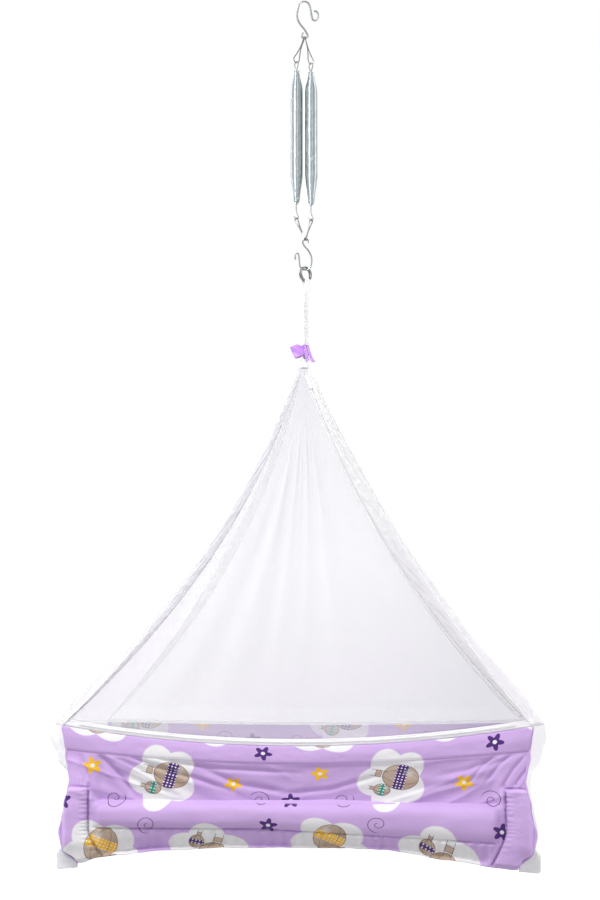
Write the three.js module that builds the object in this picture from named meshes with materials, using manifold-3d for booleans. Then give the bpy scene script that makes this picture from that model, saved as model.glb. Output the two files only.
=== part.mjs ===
// Hanging baby cradle: a cloth bed under a net tent, hung from a hook by two long springs.
// Millimetres, +Z up, +X along the bed to the right, -Y to the front.
// The origin is where the ceiling hook hangs, inside the top of its upper bend.

import * as THREE from 'three';
import { mergeVertices } from 'three/addons/utils/BufferGeometryUtils.js';
import Module from 'manifold-3d';

const wasm = await Module();
wasm.setup();

// Clearances
const fit = 0.3;
const seamGap = 1.3;
const cornerGap = 1.7;
const paddingGap = 1.6;
const endPadGap = 0.6;
const linkFit = 0.5;
const meshStep = 0.001;

// Ceiling hook
const hookWire = 4;
const hookBendRadius = 11;
const hookEyeRadius = 5.8;
const hookEyeDrop = 67.9;
const hookEyeOffset = 1.2;
const hookCurlOffset = 21;
const hookCurlDrop = 28;
const hookCurlHalfWidth = 6.3;
const hookCurlHalfHeight = 10;
const hookTailRise = 7;
const hookCurlArc = [110, -180];
const hookBendArc = [5, 180];
const hookEyeArc = [25, -205];
const hookShankShares = [[-0.203, -0.339], [-0.186, -0.489], [-0.116, -0.641], [-0.003, -0.79]];

// Wire links
const linkWire = 2.3;
const linkPitch = 2.7;
const linkHookBend = 3.9;
const linkSpringBend = 7;
const upperLinkDrops = { left: 52.5, right: 56.5 };
const linkButt = 0.6;
const linkTwist = 45;
const upperWaistShares = [0.27, 0.32, 0.62];

// Springs
const springSpacing = 28.1;
const springOffset = -0.8;
const springLength = 268;
const springWire = 2.3;
const springRadius = 11.35;
const springCurls = 32;
const springProfileShares = [[0, 0.37], [0.2, 1], [0.76, 1], [0.82, 0.66], [0.965, 0.5], [1, 0.24]];
const springEyeWire = 2.3;
const springEyeArc = [135, 90, 45];
const springEyeBend = 5.5;
const springEyeHeight = 17.3;
const springLegHalf = 1.35;
const springFootDepth = 14;
const springFootReach = 2.9;
const springLegBendShare = 0.6;
const springStemLength = 18;
const springRingRadius = 5;
const springStemFoot = 2.3;
const springStemDepth = 9;
const springStemShares = [[1, 1], [0.25, 0.75], [0, 0.3]];
const springStemStraightShare = 0.7;
const springRingArc = { start: 45, end: -215, steps: 10 };

// Lower links and hook
const lowerLinkDrop = 43;
const lowerLinkTopBend = 4.4;
const lowerLinkFootBend = 4;
const lowerWaistShares = [0.62, 0.4, 0.42];
const lowerHookWire = 3.2;
const lowerHookEyeRadius = 5.4;
const lowerHookOffset = 2.4;
const lowerHookBendRadius = 11.1;
const lowerHookBendDrop = 44.5;
const lowerHookEyeArc = [-40, 200];
const lowerHookBendArc = [-5, -175];
const lowerHookShankShares = [[-0.05, -0.2], [0.05, -0.31], [0.15, -0.45], [0.235, -0.62], [0.268, -0.8]];
const lowerHookTipShares = [[-0.26, -0.83], [-0.28, -0.65], [-0.305, -0.54], [-0.36, -0.5], [-0.415, -0.55],
  [-0.44, -0.66], [-0.425, -0.79]];

// Rings
const ringRadius = 13.2;
const ringWire = 3.5;
const ringPitch = 3.9;
const ringTurn = 50;
const ringRide = 1.6;

// Straps and bow
const strapWidth = 6;
const strapTape = 1.4;
const strapBore = 4.6;
const strapLoopLength = 40;
const strapParting = 0.6;
const ribbonThickness = 0.8;
const ribbonBandHeight = 20;
const ribbonBandDrop = 677;
const ribbonLoopReach = 17;
const ribbonLoopDepth = 7;
const ribbonLoopTilt = 14;
const ribbonTailWidth = 10;
const ribbonTailOffset = 3.7;
const ribbonTailLength = 32;
const ribbonTailFlare = 5;
const ribbonTailTopShare = 0.6;
const ribbonFlareShares = { front: 0.2, side: 1 };

// Tent
const apexDrop = 722;
const apexHalfX = 10;
const apexHalfY = 8;
const gatherHeight = 17;
const gatherHalfX = 8.5;
const gatherHalfY = 7.5;
const gatherWaistShares = [[0, 0.86], [0.35, 0.8], [0.7, 0.92], [1, 1]];
const gatherPuckerShare = 0.9;
const gatherSideCount = 12;
const rimDrop = 1378;
const rimHalfX = 402;
const rimHalfY = 190;
const frontRimDip = 35;
const backRimDip = 6;
const ridgeSags = { left: 45, right: 35 };
const netThickness = 0.8;
const netRippleHeight = 4;
const netFoldCount = 7;
const netHemShare = 0.25;
const netCellCounts = { front: [14, 9], back: [12, 6] };
const goreThickness = 1.2;
const goreBow = 35;
const bandWidth = 32;
const bandThickness = 1;

// Zip
const zipTopX = 5;
const zipTopSlope = 14;
const zipFootInset = 22;
const zipFootX = rimHalfX - zipFootInset;
const zipFootRise = 16.8;
const zipSagExtra = 8;
const zipSag = ridgeSags.right + zipSagExtra;
const zipChainWidth = 4;
const zipChainThickness = 1.6;
const zipTapeWidth = 12;
const zipTapeThickness = 1;
const zipEndLift = 5;
const sliderLength = 9;
const sliderWidth = 7;
const sliderThickness = 2.2;
const sliderNoseShare = 0.7;
const bridgeSpan = 4;
const bridgeBar = 0.8;
const bridgeWidth = 1.2;
const bridgeRoom = 1.7;
const pullLength = 24;
const pullWidth = 5;
const pullThickness = 1;
const pullBar = 0.9;
const pullEyeWidth = 2.4;
const pullEyeLength = 3.6;
const pullHeadShare = 0.8;
const pullStraightShare = 0.8;

// Bed
const bedDepth = 202;
const bedCornerDepth = 232;
const bottomDrop = rimDrop + bedDepth;
const bottomCornerDrop = rimDrop + bedCornerDepth;
const bottomPower = 2.6;
const facingWidth = 40;
const panelThickness = 2;
const panelBulge = 10;
const panelBulgeHeight = 27;
const panelRippleHeight = 3.5;
const panelFoldCount = 11;
const foldRestShare = 0.45;
const foldSpreadShare = 0.24;
const endPanelThickness = 1.6;
const endBow = 46;
const endOutlineShares = [[0, 1], [0.2, 0.985], [0.4, 0.965], [0.6, 0.985], [0.78, 1.005], [0.9, 0.99],
  [1, 0.93]];
const endBowShares = [[0, 0.761], [0.1, 1], [0.25, 0.85], [0.4, 0.34], [0.58, 0.2], [0.8, 0.2], [1, 0.4]];
const sideOutlineShares = [[0, 1], [0.2, 0.985], [0.6, 1.015], [0.85, 1], [1, 0.95]];
const coverThickness = 1.6;
const matThickness = 28;
const matEndInset = 70;
const matSideInset = 18;
const matHalfX = rimHalfX - matEndInset;
const matHalfY = rimHalfY - matSideInset;
const bolsterHeight = 56;
const bolsterDepth = 58;
const bolsterEndInset = 74;
const bolsterHalfLength = rimHalfX - bolsterEndInset;
const endPadThickness = 50;
const endPadTopDepth = 98;
const endPadTopDrop = rimDrop + endPadTopDepth;
const endPadInset = 20;
const endPadHalfLength = rimHalfY - endPadInset;
const endPadSeatShare = 0.6;
const cornerPointReach = 27;
const cornerPointDrop = 12;
const cornerPointInset = 8;
const cornerPointRows = 2;
const cushionEndShare = 0.99;
const cushionSideCount = 16;
const padTestCount = 64;
const panelColumnCounts = { front: 22, back: 18 };
const bedRowCount = 7;
const endRowCount = 11;
const bolsterSideCount = 16;

const degrees = Math.PI / 180;
const cradle = new THREE.Group();

// Finishes, one material for each kind of surface
const finishes = {
  zinc: { color: 0xb4bcc0, roughness: 0.32, metalness: 0.95 },
  steel: { color: 0x8f9496, roughness: 0.3, metalness: 0.95 },
  satin: { color: 0xf4f4f6, roughness: 0.35, metalness: 0 },
  webbing: { color: 0xf5f5f5, roughness: 0.7, metalness: 0 },
  net: { color: 0xf0f0f6, roughness: 0.8, metalness: 0 },
  lilac: { color: 0xcdaae4, roughness: 0.75, metalness: 0 },
  facing: { color: 0xdec2f3, roughness: 0.75, metalness: 0 },
  ribbon: { color: 0xc3a4dc, roughness: 0.3, metalness: 0 },
  zipWhite: { color: 0xf2f2f4, roughness: 0.5, metalness: 0 },
};

function addMesh(name, geometry, finish, parent = cradle) {
  const mesh = new THREE.Mesh(geometry, new THREE.MeshStandardMaterial(finishes[finish]));
  mesh.name = name;
  parent.add(mesh);
  return mesh;
}

// Small helpers

function mix(a, b, share) {
  return a + (b - a) * share;
}

function smooth(share) {
  const held = Math.min(1, Math.max(0, share));
  return held * held * (3 - 2 * held);
}

// Reads a table of [place, value] shares with smooth steps between its rows.
function readShares(shares, place) {
  const last = shares.length - 1;
  if (place <= shares[0][0]) return shares[0][1];
  for (let row = 1; row <= last; row += 1) {
    const [start, from] = shares[row - 1];
    const [end, to] = shares[row];
    if (place <= end) return mix(from, to, smooth((place - start) / (end - start)));
  }
  return shares[last][1];
}

function arcPoints(x, z, radiusX, radiusZ, startDegrees, endDegrees, steps) {
  const points = [];
  for (let step = 0; step <= steps; step += 1) {
    const angle = mix(startDegrees, endDegrees, step / steps) * degrees;
    points.push(new THREE.Vector3(x + radiusX * Math.cos(angle), 0, z + radiusZ * Math.sin(angle)));
  }
  return points;
}

// Turns every face outwards if the closed surface was wound inside out.
function facedOut(geometry) {
  const place = geometry.attributes.position;
  const index = geometry.index.array;
  const [a, b, c] = [new THREE.Vector3(), new THREE.Vector3(), new THREE.Vector3()];
  let volume = 0;
  for (let corner = 0; corner < index.length; corner += 3) {
    a.fromBufferAttribute(place, index[corner]);
    b.fromBufferAttribute(place, index[corner + 1]);
    c.fromBufferAttribute(place, index[corner + 2]);
    volume += a.dot(b.cross(c));
  }
  if (volume < 0) {
    for (let corner = 0; corner < index.length; corner += 3) {
      const kept = index[corner + 1];
      index[corner + 1] = index[corner + 2];
      index[corner + 2] = kept;
    }
  }
  geometry.computeVertexNormals();
  return geometry;
}

function solidFrom(points, indices) {
  const geometry = new THREE.BufferGeometry();
  const flat = points.flatMap((point) => [point.x, point.y, point.z]);
  geometry.setAttribute('position', new THREE.Float32BufferAttribute(flat, 3));
  geometry.setIndex(indices);
  return facedOut(geometry);
}

// A wire bent along points.
function wire(points, diameter, steps, sides) {
  const path = new THREE.CatmullRomCurve3(points, false, 'centripetal');
  const section = new THREE.Shape();
  for (let side = 0; side < sides; side += 1) {
    const angle = (side / sides) * 2 * Math.PI;
    const [x, y] = [(diameter / 2) * Math.cos(angle), (diameter / 2) * Math.sin(angle)];
    if (side === 0) section.moveTo(x, y);
    else section.lineTo(x, y);
  }
  return new THREE.ExtrudeGeometry(section, { steps, extrudePath: path, curveSegments: 1 });
}

// A closed skin of rings of points, with a fan over each end.
function lofted(rings) {
  const around = rings[0].length;
  const points = rings.flat();
  const indices = [];
  for (let ring = 0; ring < rings.length - 1; ring += 1) {
    for (let side = 0; side < around; side += 1) {
      const next = (side + 1) % around;
      const [a, b] = [ring * around + side, ring * around + next];
      indices.push(a, b, b + around, a, b + around, a + around);
    }
  }
  for (const [start, flip] of [[0, true], [(rings.length - 1) * around, false]]) {
    const centre = new THREE.Vector3();
    for (let side = 0; side < around; side += 1) centre.addScaledVector(points[start + side], 1 / around);
    points.push(centre);
    for (let side = 0; side < around; side += 1) {
      const [a, b] = [start + side, start + ((side + 1) % around)];
      if (flip) indices.push(points.length - 1, b, a);
      else indices.push(points.length - 1, a, b);
    }
  }
  return solidFrom(points, indices);
}

// A cloth: a grid of points given by pointAt(across, down), thickened on both sides.
function cloth(pointAt, columns, rows, thickness) {
  const points = [];
  const stride = columns + 1;
  for (const side of [0.5, -0.5]) {
    for (let row = 0; row <= rows; row += 1) {
      for (let column = 0; column <= columns; column += 1) {
        const [u, v] = [column / columns, row / rows];
        const [u0, u1] = [Math.max(0, u - meshStep), Math.min(1, u + meshStep)];
        const [v0, v1] = [Math.max(0, v - meshStep), Math.min(1, v + meshStep)];
        const across = pointAt(u1, v).sub(pointAt(u0, v));
        const down = pointAt(u, v1).sub(pointAt(u, v0));
        const normal = across.cross(down).normalize();
        points.push(pointAt(u, v).addScaledVector(normal, side * thickness));
      }
    }
  }
  const layer = stride * (rows + 1);
  const indices = [];
  for (let row = 0; row < rows; row += 1) {
    for (let column = 0; column < columns; column += 1) {
      const a = row * stride + column;
      const [b, c, d] = [a + 1, a + stride + 1, a + stride];
      indices.push(a, b, c, a, c, d);
      indices.push(layer + a, layer + c, layer + b, layer + a, layer + d, layer + c);
    }
  }
  const border = [];
  for (let column = 0; column < columns; column += 1) border.push(column);
  for (let row = 0; row < rows; row += 1) border.push(row * stride + columns);
  for (let column = columns; column > 0; column -= 1) border.push(rows * stride + column);
  for (let row = rows; row > 0; row -= 1) border.push(row * stride);
  border.forEach((a, place) => {
    const b = border[(place + 1) % border.length];
    indices.push(a, layer + a, layer + b, a, layer + b, b);
  });
  return solidFrom(points, indices);
}

// Hardware

// Height of two side by side links in a round eye, from the eye's centre to their wire's centre.
function linkSeat(eyeRadius, eyeWire) {
  const reach = eyeRadius - eyeWire / 2 - linkWire / 2 - linkFit;
  return Math.sqrt(reach * reach - (linkPitch / 2) ** 2);
}

const hookEyeSeat = linkSeat(hookEyeRadius, hookWire);
const lowerEyeSeat = linkSeat(lowerHookEyeRadius, lowerHookWire);

function topHook() {
  const bendZ = hookWire / 2 - hookBendRadius;
  const points = [
    ...arcPoints(hookCurlOffset, -hookCurlDrop, hookCurlHalfWidth, hookCurlHalfHeight, ...hookCurlArc, 12),
    ...arcPoints(0, bendZ, hookBendRadius, hookBendRadius, ...hookBendArc, 8),
    ...hookShankShares.map(([x, z]) => new THREE.Vector3(x * hookEyeDrop, 0, z * hookEyeDrop)),
    ...arcPoints(hookEyeOffset, -hookEyeDrop, hookEyeRadius, hookEyeRadius, ...hookEyeArc, 10),
    new THREE.Vector3(hookEyeOffset - hookEyeRadius / 2 - fit, 0, hookTailRise - hookEyeDrop),
  ];
  addMesh('top_hook', wire(points, hookWire, 52, 8), 'zinc');
}

// A long wire link. Its bends at top and foot stand in planes turned about the vertical.
function wireLink(head, foot, headBend, footBend, headTurn, footTurn, waistShares) {
  const headCentre = head.clone();
  headCentre.z -= headBend;
  const footCentre = foot.clone();
  footCentre.z += footBend;
  const strand = (share, side) => {
    const turn = mix(headTurn, footTurn, smooth(share)) * degrees;
    const half = Math.max(headBend, footBend) * waistShares[Math.round(share * 4) - 1];
    const point = headCentre.clone().lerp(footCentre, share);
    return point.add(new THREE.Vector3(side * half * Math.cos(turn), side * half * Math.sin(turn), 0));
  };
  const bend = (centre, radius, turn, start, end) => {
    const points = [];
    for (let step = 0; step <= 6; step += 1) {
      const angle = mix(start, end, step / 6) * degrees;
      const reach = radius * Math.cos(angle);
      points.push(new THREE.Vector3(
        centre.x + reach * Math.cos(turn * degrees),
        centre.y + reach * Math.sin(turn * degrees),
        centre.z + radius * Math.sin(angle),
      ));
    }
    return points;
  };
  const butt = strand(0.5, 1);
  const above = strand(0.25, 1);
  const below = strand(0.75, 1);
  const parted = linkButt / 2;
  const points = [
    butt.clone().addScaledVector(above.clone().sub(butt).normalize(), parted),
    above,
    ...bend(headCentre, headBend, headTurn, 0, 180),
    strand(0.25, -1), strand(0.5, -1), strand(0.75, -1),
    ...bend(footCentre, footBend, footTurn, 180, 360),
    below,
    butt.clone().addScaledVector(below.clone().sub(butt).normalize(), parted),
  ];
  return wire(points, linkWire, 28, 6);
}

// The end eye at a spring's head: a bend with two legs whose feet spread inside the coil.
function springHeadEye(x, topZ) {
  const turn = -linkTwist * degrees;
  const place = (reach, z) => new THREE.Vector3(x + reach * Math.cos(turn), reach * Math.sin(turn), z);
  const centreZ = topZ - springEyeBend;
  const mouthZ = topZ - springEyeHeight;
  const footZ = mouthZ - springFootDepth;
  const points = [];
  const leg = (side) => [
    place(side * springFootReach, footZ),
    place(side * springLegHalf, mix(mouthZ, footZ, springLegBendShare)),
    place(side * springLegHalf, mouthZ),
    place(side * springEyeBend, centreZ),
  ];
  points.push(...leg(-1));
  for (const angle of springEyeArc) {
    const bend = angle * degrees;
    points.push(place(springEyeBend * Math.cos(bend), centreZ + springEyeBend * Math.sin(bend)));
  }
  points.push(...leg(1).reverse());
  return wire(points, springEyeWire, 22, 6);
}

// The end eye at a spring's foot: a stem that hangs from inside the coil and ends in a ring.
function springFootEye(x, footZ) {
  const turn = linkTwist * degrees;
  const place = (reach, z) => new THREE.Vector3(x + reach * Math.cos(turn), reach * Math.sin(turn), z);
  const ringZ = footZ - springStemLength - springRingRadius;
  const points = springStemShares.map(([aside, up]) => (
    place(springStemFoot * aside, footZ + springStemDepth * up)
  ));
  points.push(place(0, footZ - springStemLength * springStemStraightShare));
  const { start, end, steps } = springRingArc;
  for (let step = 0; step <= steps; step += 1) {
    const bend = mix(start, end, step / steps) * degrees;
    points.push(place(springRingRadius * Math.cos(bend), ringZ + springRingRadius * Math.sin(bend)));
  }
  return wire(points, springEyeWire, 22, 6);
}

// One unbroken coil, drawn in at both ends.
function springCoil(x, topZ) {
  const [stepsPerCurl, sides] = [8, 5];
  const steps = springCurls * stepsPerCurl;
  const centreAt = (share) => {
    const angle = share * springCurls * 2 * Math.PI;
    const radius = springRadius * readShares(springProfileShares, share);
    const z = topZ - springWire / 2 - share * (springLength - springWire);
    return new THREE.Vector3(x + radius * Math.cos(angle), radius * Math.sin(angle), z);
  };
  const rings = [];
  for (let step = 0; step <= steps; step += 1) {
    const share = step / steps;
    const centre = centreAt(share);
    const ahead = centreAt(Math.min(1, share + meshStep)).sub(centreAt(Math.max(0, share - meshStep)));
    const outward = new THREE.Vector3(centre.x - x, centre.y, 0).normalize();
    const along = ahead.normalize();
    outward.addScaledVector(along, -outward.dot(along)).normalize();
    const aside = along.clone().cross(outward);
    const ring = [];
    for (let side = 0; side < sides; side += 1) {
      const angle = (side / sides) * 2 * Math.PI;
      const point = centre.clone().addScaledVector(outward, (springWire / 2) * Math.cos(angle));
      ring.push(point.addScaledVector(aside, (springWire / 2) * Math.sin(angle)));
    }
    rings.push(ring);
  }
  return { geometry: lofted(rings), leastGap: leastCoilGap(centreAt, steps, stepsPerCurl) };
}

// The least gap between one turn of a coil and the turns after it.
function leastCoilGap(centreAt, steps, stepsPerCurl) {
  let least = Infinity;
  for (let step = 0; step + stepsPerCurl / 2 <= steps; step += 1) {
    const from = centreAt(step / steps);
    const reach = Math.min(steps, step + 2 * stepsPerCurl);
    for (let other = step + stepsPerCurl / 2; other <= reach; other += 0.5) {
      least = Math.min(least, from.distanceTo(centreAt(other / steps)) - springWire);
    }
  }
  return least;
}

// Drops down the chain, worked out from one piece to the next
const upperLinkHeadZ = -hookEyeDrop - hookEyeSeat;
const sideSigns = { left: -1, right: 1 };
const wireGap = linkWire / 2 + springEyeWire / 2 + fit;

function springPlace(side) {
  const x = springOffset + (sideSigns[side] * springSpacing) / 2;
  const linkFootZ = upperLinkHeadZ - upperLinkDrops[side];
  const eyeTopZ = linkFootZ + wireGap;
  const coilTopZ = eyeTopZ - springEyeHeight;
  const coilFootZ = coilTopZ - springLength;
  const lowerLinkHeadZ = coilFootZ - springStemLength - 2 * springRingRadius + wireGap;
  return { x, linkFootZ, eyeTopZ, coilTopZ, coilFootZ, lowerLinkHeadZ };
}

const lowerLinkHeadZ = (springPlace('left').lowerLinkHeadZ + springPlace('right').lowerLinkHeadZ) / 2;
const lowerLinkFootZ = lowerLinkHeadZ - lowerLinkDrop;
const lowerEyeZ = lowerLinkFootZ - lowerEyeSeat;
const lowerBendZ = lowerEyeZ - lowerHookBendDrop;

function springSide(side) {
  const sign = sideSigns[side];
  const { x, linkFootZ, eyeTopZ, coilTopZ, coilFootZ, lowerLinkHeadZ: headZ } = springPlace(side);
  const hookX = hookEyeOffset + (sign * linkPitch) / 2;
  const lowerX = lowerHookOffset + (sign * linkPitch) / 2;
  addMesh(`${side}_upper_link`, wireLink(
    new THREE.Vector3(hookX, 0, upperLinkHeadZ), new THREE.Vector3(x, 0, linkFootZ),
    linkHookBend, linkSpringBend, 90, linkTwist, upperWaistShares,
  ), 'zinc');
  addMesh(`${side}_spring_top_eye`, springHeadEye(x, eyeTopZ), 'zinc');
  const coil = springCoil(x, coilTopZ);
  addMesh(`${side}_spring_coil`, coil.geometry, 'zinc');
  console.log(`${side} spring, least gap between turns: ${coil.leastGap.toFixed(2)} mm`);
  addMesh(`${side}_spring_bottom_eye`, springFootEye(x, coilFootZ), 'zinc');
  addMesh(`${side}_lower_link`, wireLink(
    new THREE.Vector3(x, 0, headZ), new THREE.Vector3(lowerX, 0, lowerLinkFootZ),
    lowerLinkTopBend, lowerLinkFootBend, -linkTwist, -90, lowerWaistShares,
  ), 'zinc');
}

function lowerHook() {
  const [x, span] = [lowerHookOffset, lowerHookBendDrop];
  const place = ([shareX, shareZ]) => new THREE.Vector3(x + shareX * span, 0, lowerEyeZ + shareZ * span);
  const points = [
    ...arcPoints(x, lowerEyeZ, lowerHookEyeRadius, lowerHookEyeRadius, ...lowerHookEyeArc, 9),
    ...lowerHookShankShares.map(place),
    ...arcPoints(x, lowerBendZ, lowerHookBendRadius, lowerHookBendRadius, ...lowerHookBendArc, 8),
    ...lowerHookTipShares.map(place),
  ];
  addMesh('lower_hook', wire(points, lowerHookWire, 48, 8), 'zinc');
}

// Rings, straps and bow share a frame turned about the vertical through the lower hook's bend.
const ringGroup = new THREE.Group();
ringGroup.position.x = lowerHookOffset;
ringGroup.rotation.z = ringTurn * degrees;
cradle.add(ringGroup);
const ringTopZ = lowerBendZ - lowerHookBendRadius + lowerHookWire / 2 + ringWire / 2 + ringRide;
const ringZ = ringTopZ - ringRadius;
const ringFootZ = ringZ - ringRadius;

function ring(name, sign) {
  const geometry = new THREE.TorusGeometry(ringRadius, ringWire / 2, 8, 24);
  geometry.rotateX(Math.PI / 2);
  const mesh = addMesh(name, geometry, 'steel', ringGroup);
  mesh.position.set(0, (sign * ringPitch) / 2, ringZ);
}

// The strap's bore seats on the rings' feet where the rings rise to the strap's outer edge.
const strapReach = strapParting / 2 + strapWidth;
const ringRise = ringRadius - Math.sqrt(ringRadius ** 2 - strapReach ** 2);
const boreReach = strapBore - ringWire / 2 - fit;
const strapPivotZ = ringFootZ + ringRise - Math.sqrt(boreReach ** 2 - (ringPitch / 2) ** 2);
const gatherTopZ = gatherHeight - apexDrop;
const strapFootZ = gatherTopZ + fit;

function strapOutline() {
  const outer = strapBore + strapTape;
  const loopZ = strapPivotZ - strapLoopLength;
  const shape = new THREE.Shape();
  shape.moveTo(strapTape, strapFootZ);
  shape.lineTo(strapTape, loopZ - strapTape * 2);
  shape.lineTo(outer, strapPivotZ - outer / 2);
  shape.absarc(0, strapPivotZ, outer, 0, Math.PI, false);
  shape.lineTo(-outer, strapPivotZ - outer / 2);
  shape.lineTo(-strapTape, loopZ - strapTape * 2);
  shape.lineTo(-strapTape, strapFootZ);
  const bore = new THREE.Path();
  bore.moveTo(strapBore, strapPivotZ);
  bore.absarc(0, strapPivotZ, strapBore, 0, Math.PI, false);
  bore.lineTo(-strapBore, strapPivotZ - strapBore / 2);
  bore.lineTo(0, loopZ);
  bore.lineTo(strapBore, strapPivotZ - strapBore / 2);
  shape.holes.push(bore);
  return shape;
}

function strap(name, sign) {
  const geometry = new THREE.ExtrudeGeometry(strapOutline(), {
    depth: strapWidth, bevelEnabled: false, curveSegments: 8,
  });
  const turned = new THREE.Matrix4().makeBasis(
    new THREE.Vector3(0, 1, 0), new THREE.Vector3(0, 0, 1), new THREE.Vector3(1, 0, 0),
  );
  geometry.applyMatrix4(turned);
  const mesh = addMesh(name, geometry, 'webbing', ringGroup);
  mesh.position.x = sign > 0 ? strapParting / 2 : -strapParting / 2 - strapWidth;
}

const bandInnerX = strapReach + fit;
const bandInnerY = strapTape + fit;
const bandOuterX = bandInnerX + ribbonThickness;
const bandOuterY = bandInnerY + ribbonThickness;

function ribbonBand() {
  const shape = new THREE.Shape();
  shape.moveTo(-bandOuterX, -bandOuterY);
  shape.lineTo(bandOuterX, -bandOuterY);
  shape.lineTo(bandOuterX, bandOuterY);
  shape.lineTo(-bandOuterX, bandOuterY);
  const hole = new THREE.Path();
  hole.moveTo(-bandInnerX, -bandInnerY);
  hole.lineTo(-bandInnerX, bandInnerY);
  hole.lineTo(bandInnerX, bandInnerY);
  hole.lineTo(bandInnerX, -bandInnerY);
  shape.holes.push(hole);
  const geometry = new THREE.ExtrudeGeometry(shape, { depth: ribbonBandHeight, bevelEnabled: false });
  const mesh = addMesh('ribbon_band', geometry, 'ribbon', ringGroup);
  mesh.position.z = -ribbonBandDrop - ribbonBandHeight;
}

// The flattened loop stands out to the left of the band.
function ribbonLoop() {
  const [reach, half, thin] = [ribbonLoopReach, ribbonLoopDepth / 2, ribbonThickness];
  const outline = new THREE.Shape();
  outline.moveTo(0, -thin);
  outline.quadraticCurveTo(-reach / 2, -half * 2, -reach, -thin);
  outline.quadraticCurveTo(-reach - thin, 0, -reach, thin);
  outline.quadraticCurveTo(-reach / 2, half * 2, 0, thin);
  const bore = new THREE.Path();
  bore.moveTo(-thin * 3, 0);
  bore.quadraticCurveTo(-reach / 2, half * 2 - thin * 2, -reach + thin, 0);
  bore.quadraticCurveTo(-reach / 2, -half * 2 + thin * 2, -thin * 3, 0);
  outline.holes.push(bore);
  const geometry = new THREE.ExtrudeGeometry(outline, {
    depth: ribbonBandHeight, bevelEnabled: false, curveSegments: 5,
  });
  const holder = new THREE.Group();
  const [cosine, sine] = [Math.cos(ringTurn * degrees), Math.sin(ringTurn * degrees)];
  holder.position.set(
    lowerHookOffset - bandOuterX * cosine - bandOuterY * sine - fit,
    bandOuterY * cosine - bandOuterX * sine,
    -ribbonBandDrop - ribbonBandHeight,
  );
  holder.rotation.y = -ribbonLoopTilt * degrees;
  cradle.add(holder);
  addMesh('ribbon_loop', geometry, 'ribbon', holder);
}

// A tail hangs from the band's front face and flares out below it.
function ribbonTail(name, along, flareShare) {
  const frontY = -bandOuterY - fit - ribbonThickness / 2;
  const pointAt = (u, v) => {
    const flare = ribbonTailFlare * v * v;
    const width = ribbonTailWidth * mix(ribbonTailTopShare, 1, v);
    const x = along + (u - 0.5) * width + flareShare * flare * 2;
    const z = -ribbonBandDrop - ribbonTailLength * v + flareShare * (u - 0.5) * flare;
    return new THREE.Vector3(x, frontY - flare, z);
  };
  addMesh(name, cloth(pointAt, 2, 5, ribbonThickness), 'ribbon', ringGroup);
}

// Tent

const slopeAngle = Math.atan2(rimHalfY - apexHalfY, rimDrop - apexDrop);
const slopeLength = (rimDrop - apexDrop) / Math.cos(slopeAngle);
const faceSigns = { front: -1, back: 1 };

// A point of a sloping tent face: across, down the slope, and out from the face.
function facePoint(face, x, slope, out) {
  const away = apexHalfY + slope * Math.sin(slopeAngle) + out * Math.cos(slopeAngle);
  const z = -apexDrop - slope * Math.cos(slopeAngle) + out * Math.sin(slopeAngle);
  return new THREE.Vector3(x, faceSigns[face] * away, z);
}

// A round arc in a tent face from its top to its foot, drawn in by its sag.
function faceArc(topX, topSlope, footX, footSlope, sag) {
  const [spanX, spanSlope] = [footX - topX, footSlope - topSlope];
  const chord = Math.hypot(spanX, spanSlope);
  const radius = ((chord / 2) ** 2 + sag ** 2) / (2 * sag);
  const centreX = (topX + footX) / 2 + ((radius - sag) * spanSlope) / chord;
  const centreSlope = (topSlope + footSlope) / 2 - ((radius - sag) * spanX) / chord;
  const start = Math.atan2(topSlope - centreSlope, topX - centreX);
  const end = Math.atan2(footSlope - centreSlope, footX - centreX);
  const sweep = Math.atan2(Math.sin(end - start), Math.cos(end - start));
  const at = (share, inward = 0) => {
    const angle = start + sweep * share;
    const reach = radius + inward;
    return [centreX + reach * Math.cos(angle), centreSlope + reach * Math.sin(angle)];
  };
  return { at, radius, centreX, centreSlope, sweep };
}

const ridgeArcs = {
  left: faceArc(apexHalfX, 0, rimHalfX, slopeLength, ridgeSags.left),
  right: faceArc(apexHalfX, 0, rimHalfX, slopeLength, ridgeSags.right),
};
const zipFootSlope = slopeLength - zipFootRise;
const zipArc = faceArc(zipTopX, zipTopSlope, zipFootX, zipFootSlope, zipSag);
const rimDips = { front: frontRimDip, back: backRimDip };

function rimSlope(face, x) {
  return slopeLength + rimDips[face] * (1 - (x / rimHalfX) ** 2);
}

const netLayer = netThickness / 2 + fit;

function tentNet(face) {
  const pointAt = (u, v) => {
    const [leftX, leftSlope] = ridgeArcs.left.at(v);
    const [rightX, rightSlope] = ridgeArcs.right.at(v);
    const x = mix(-leftX + seamGap, rightX - seamGap, u);
    const edge = Math.min(x + leftX, rightX - x);
    const hemmed = rimSlope(face, x) - zipTapeWidth - fit;
    const spread = mix(leftSlope, rightSlope, u) / slopeLength;
    const clear = smooth((edge - bandWidth * 1.5) / bandWidth) * smooth((1 - v) / netHemShare);
    const out = netRippleHeight * clear * Math.sin(netFoldCount * 2 * Math.PI * u) * v;
    return facePoint(face, x, spread * hemmed, out);
  };
  addMesh(`${face}_net`, cloth(pointAt, ...netCellCounts[face], netThickness), 'net');
}

// The white gore between the two nets at one end, bowed out towards the rim.
function endGore(side) {
  const pointAt = (u, v) => {
    const [x, slope] = ridgeArcs[side].at(v);
    const edge = facePoint('back', x, slope, 0);
    const w = 2 * u - 1;
    const bowed = x + goreBow * v * v * (1 - w * w);
    const z = v < 1 ? edge.z : edge.z + fit / 2;
    return new THREE.Vector3(sideSigns[side] * bowed, w * (edge.y - seamGap), z);
  };
  addMesh(`${side}_end_gore`, cloth(pointAt, 6, 10, goreThickness), 'satin');
}

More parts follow.
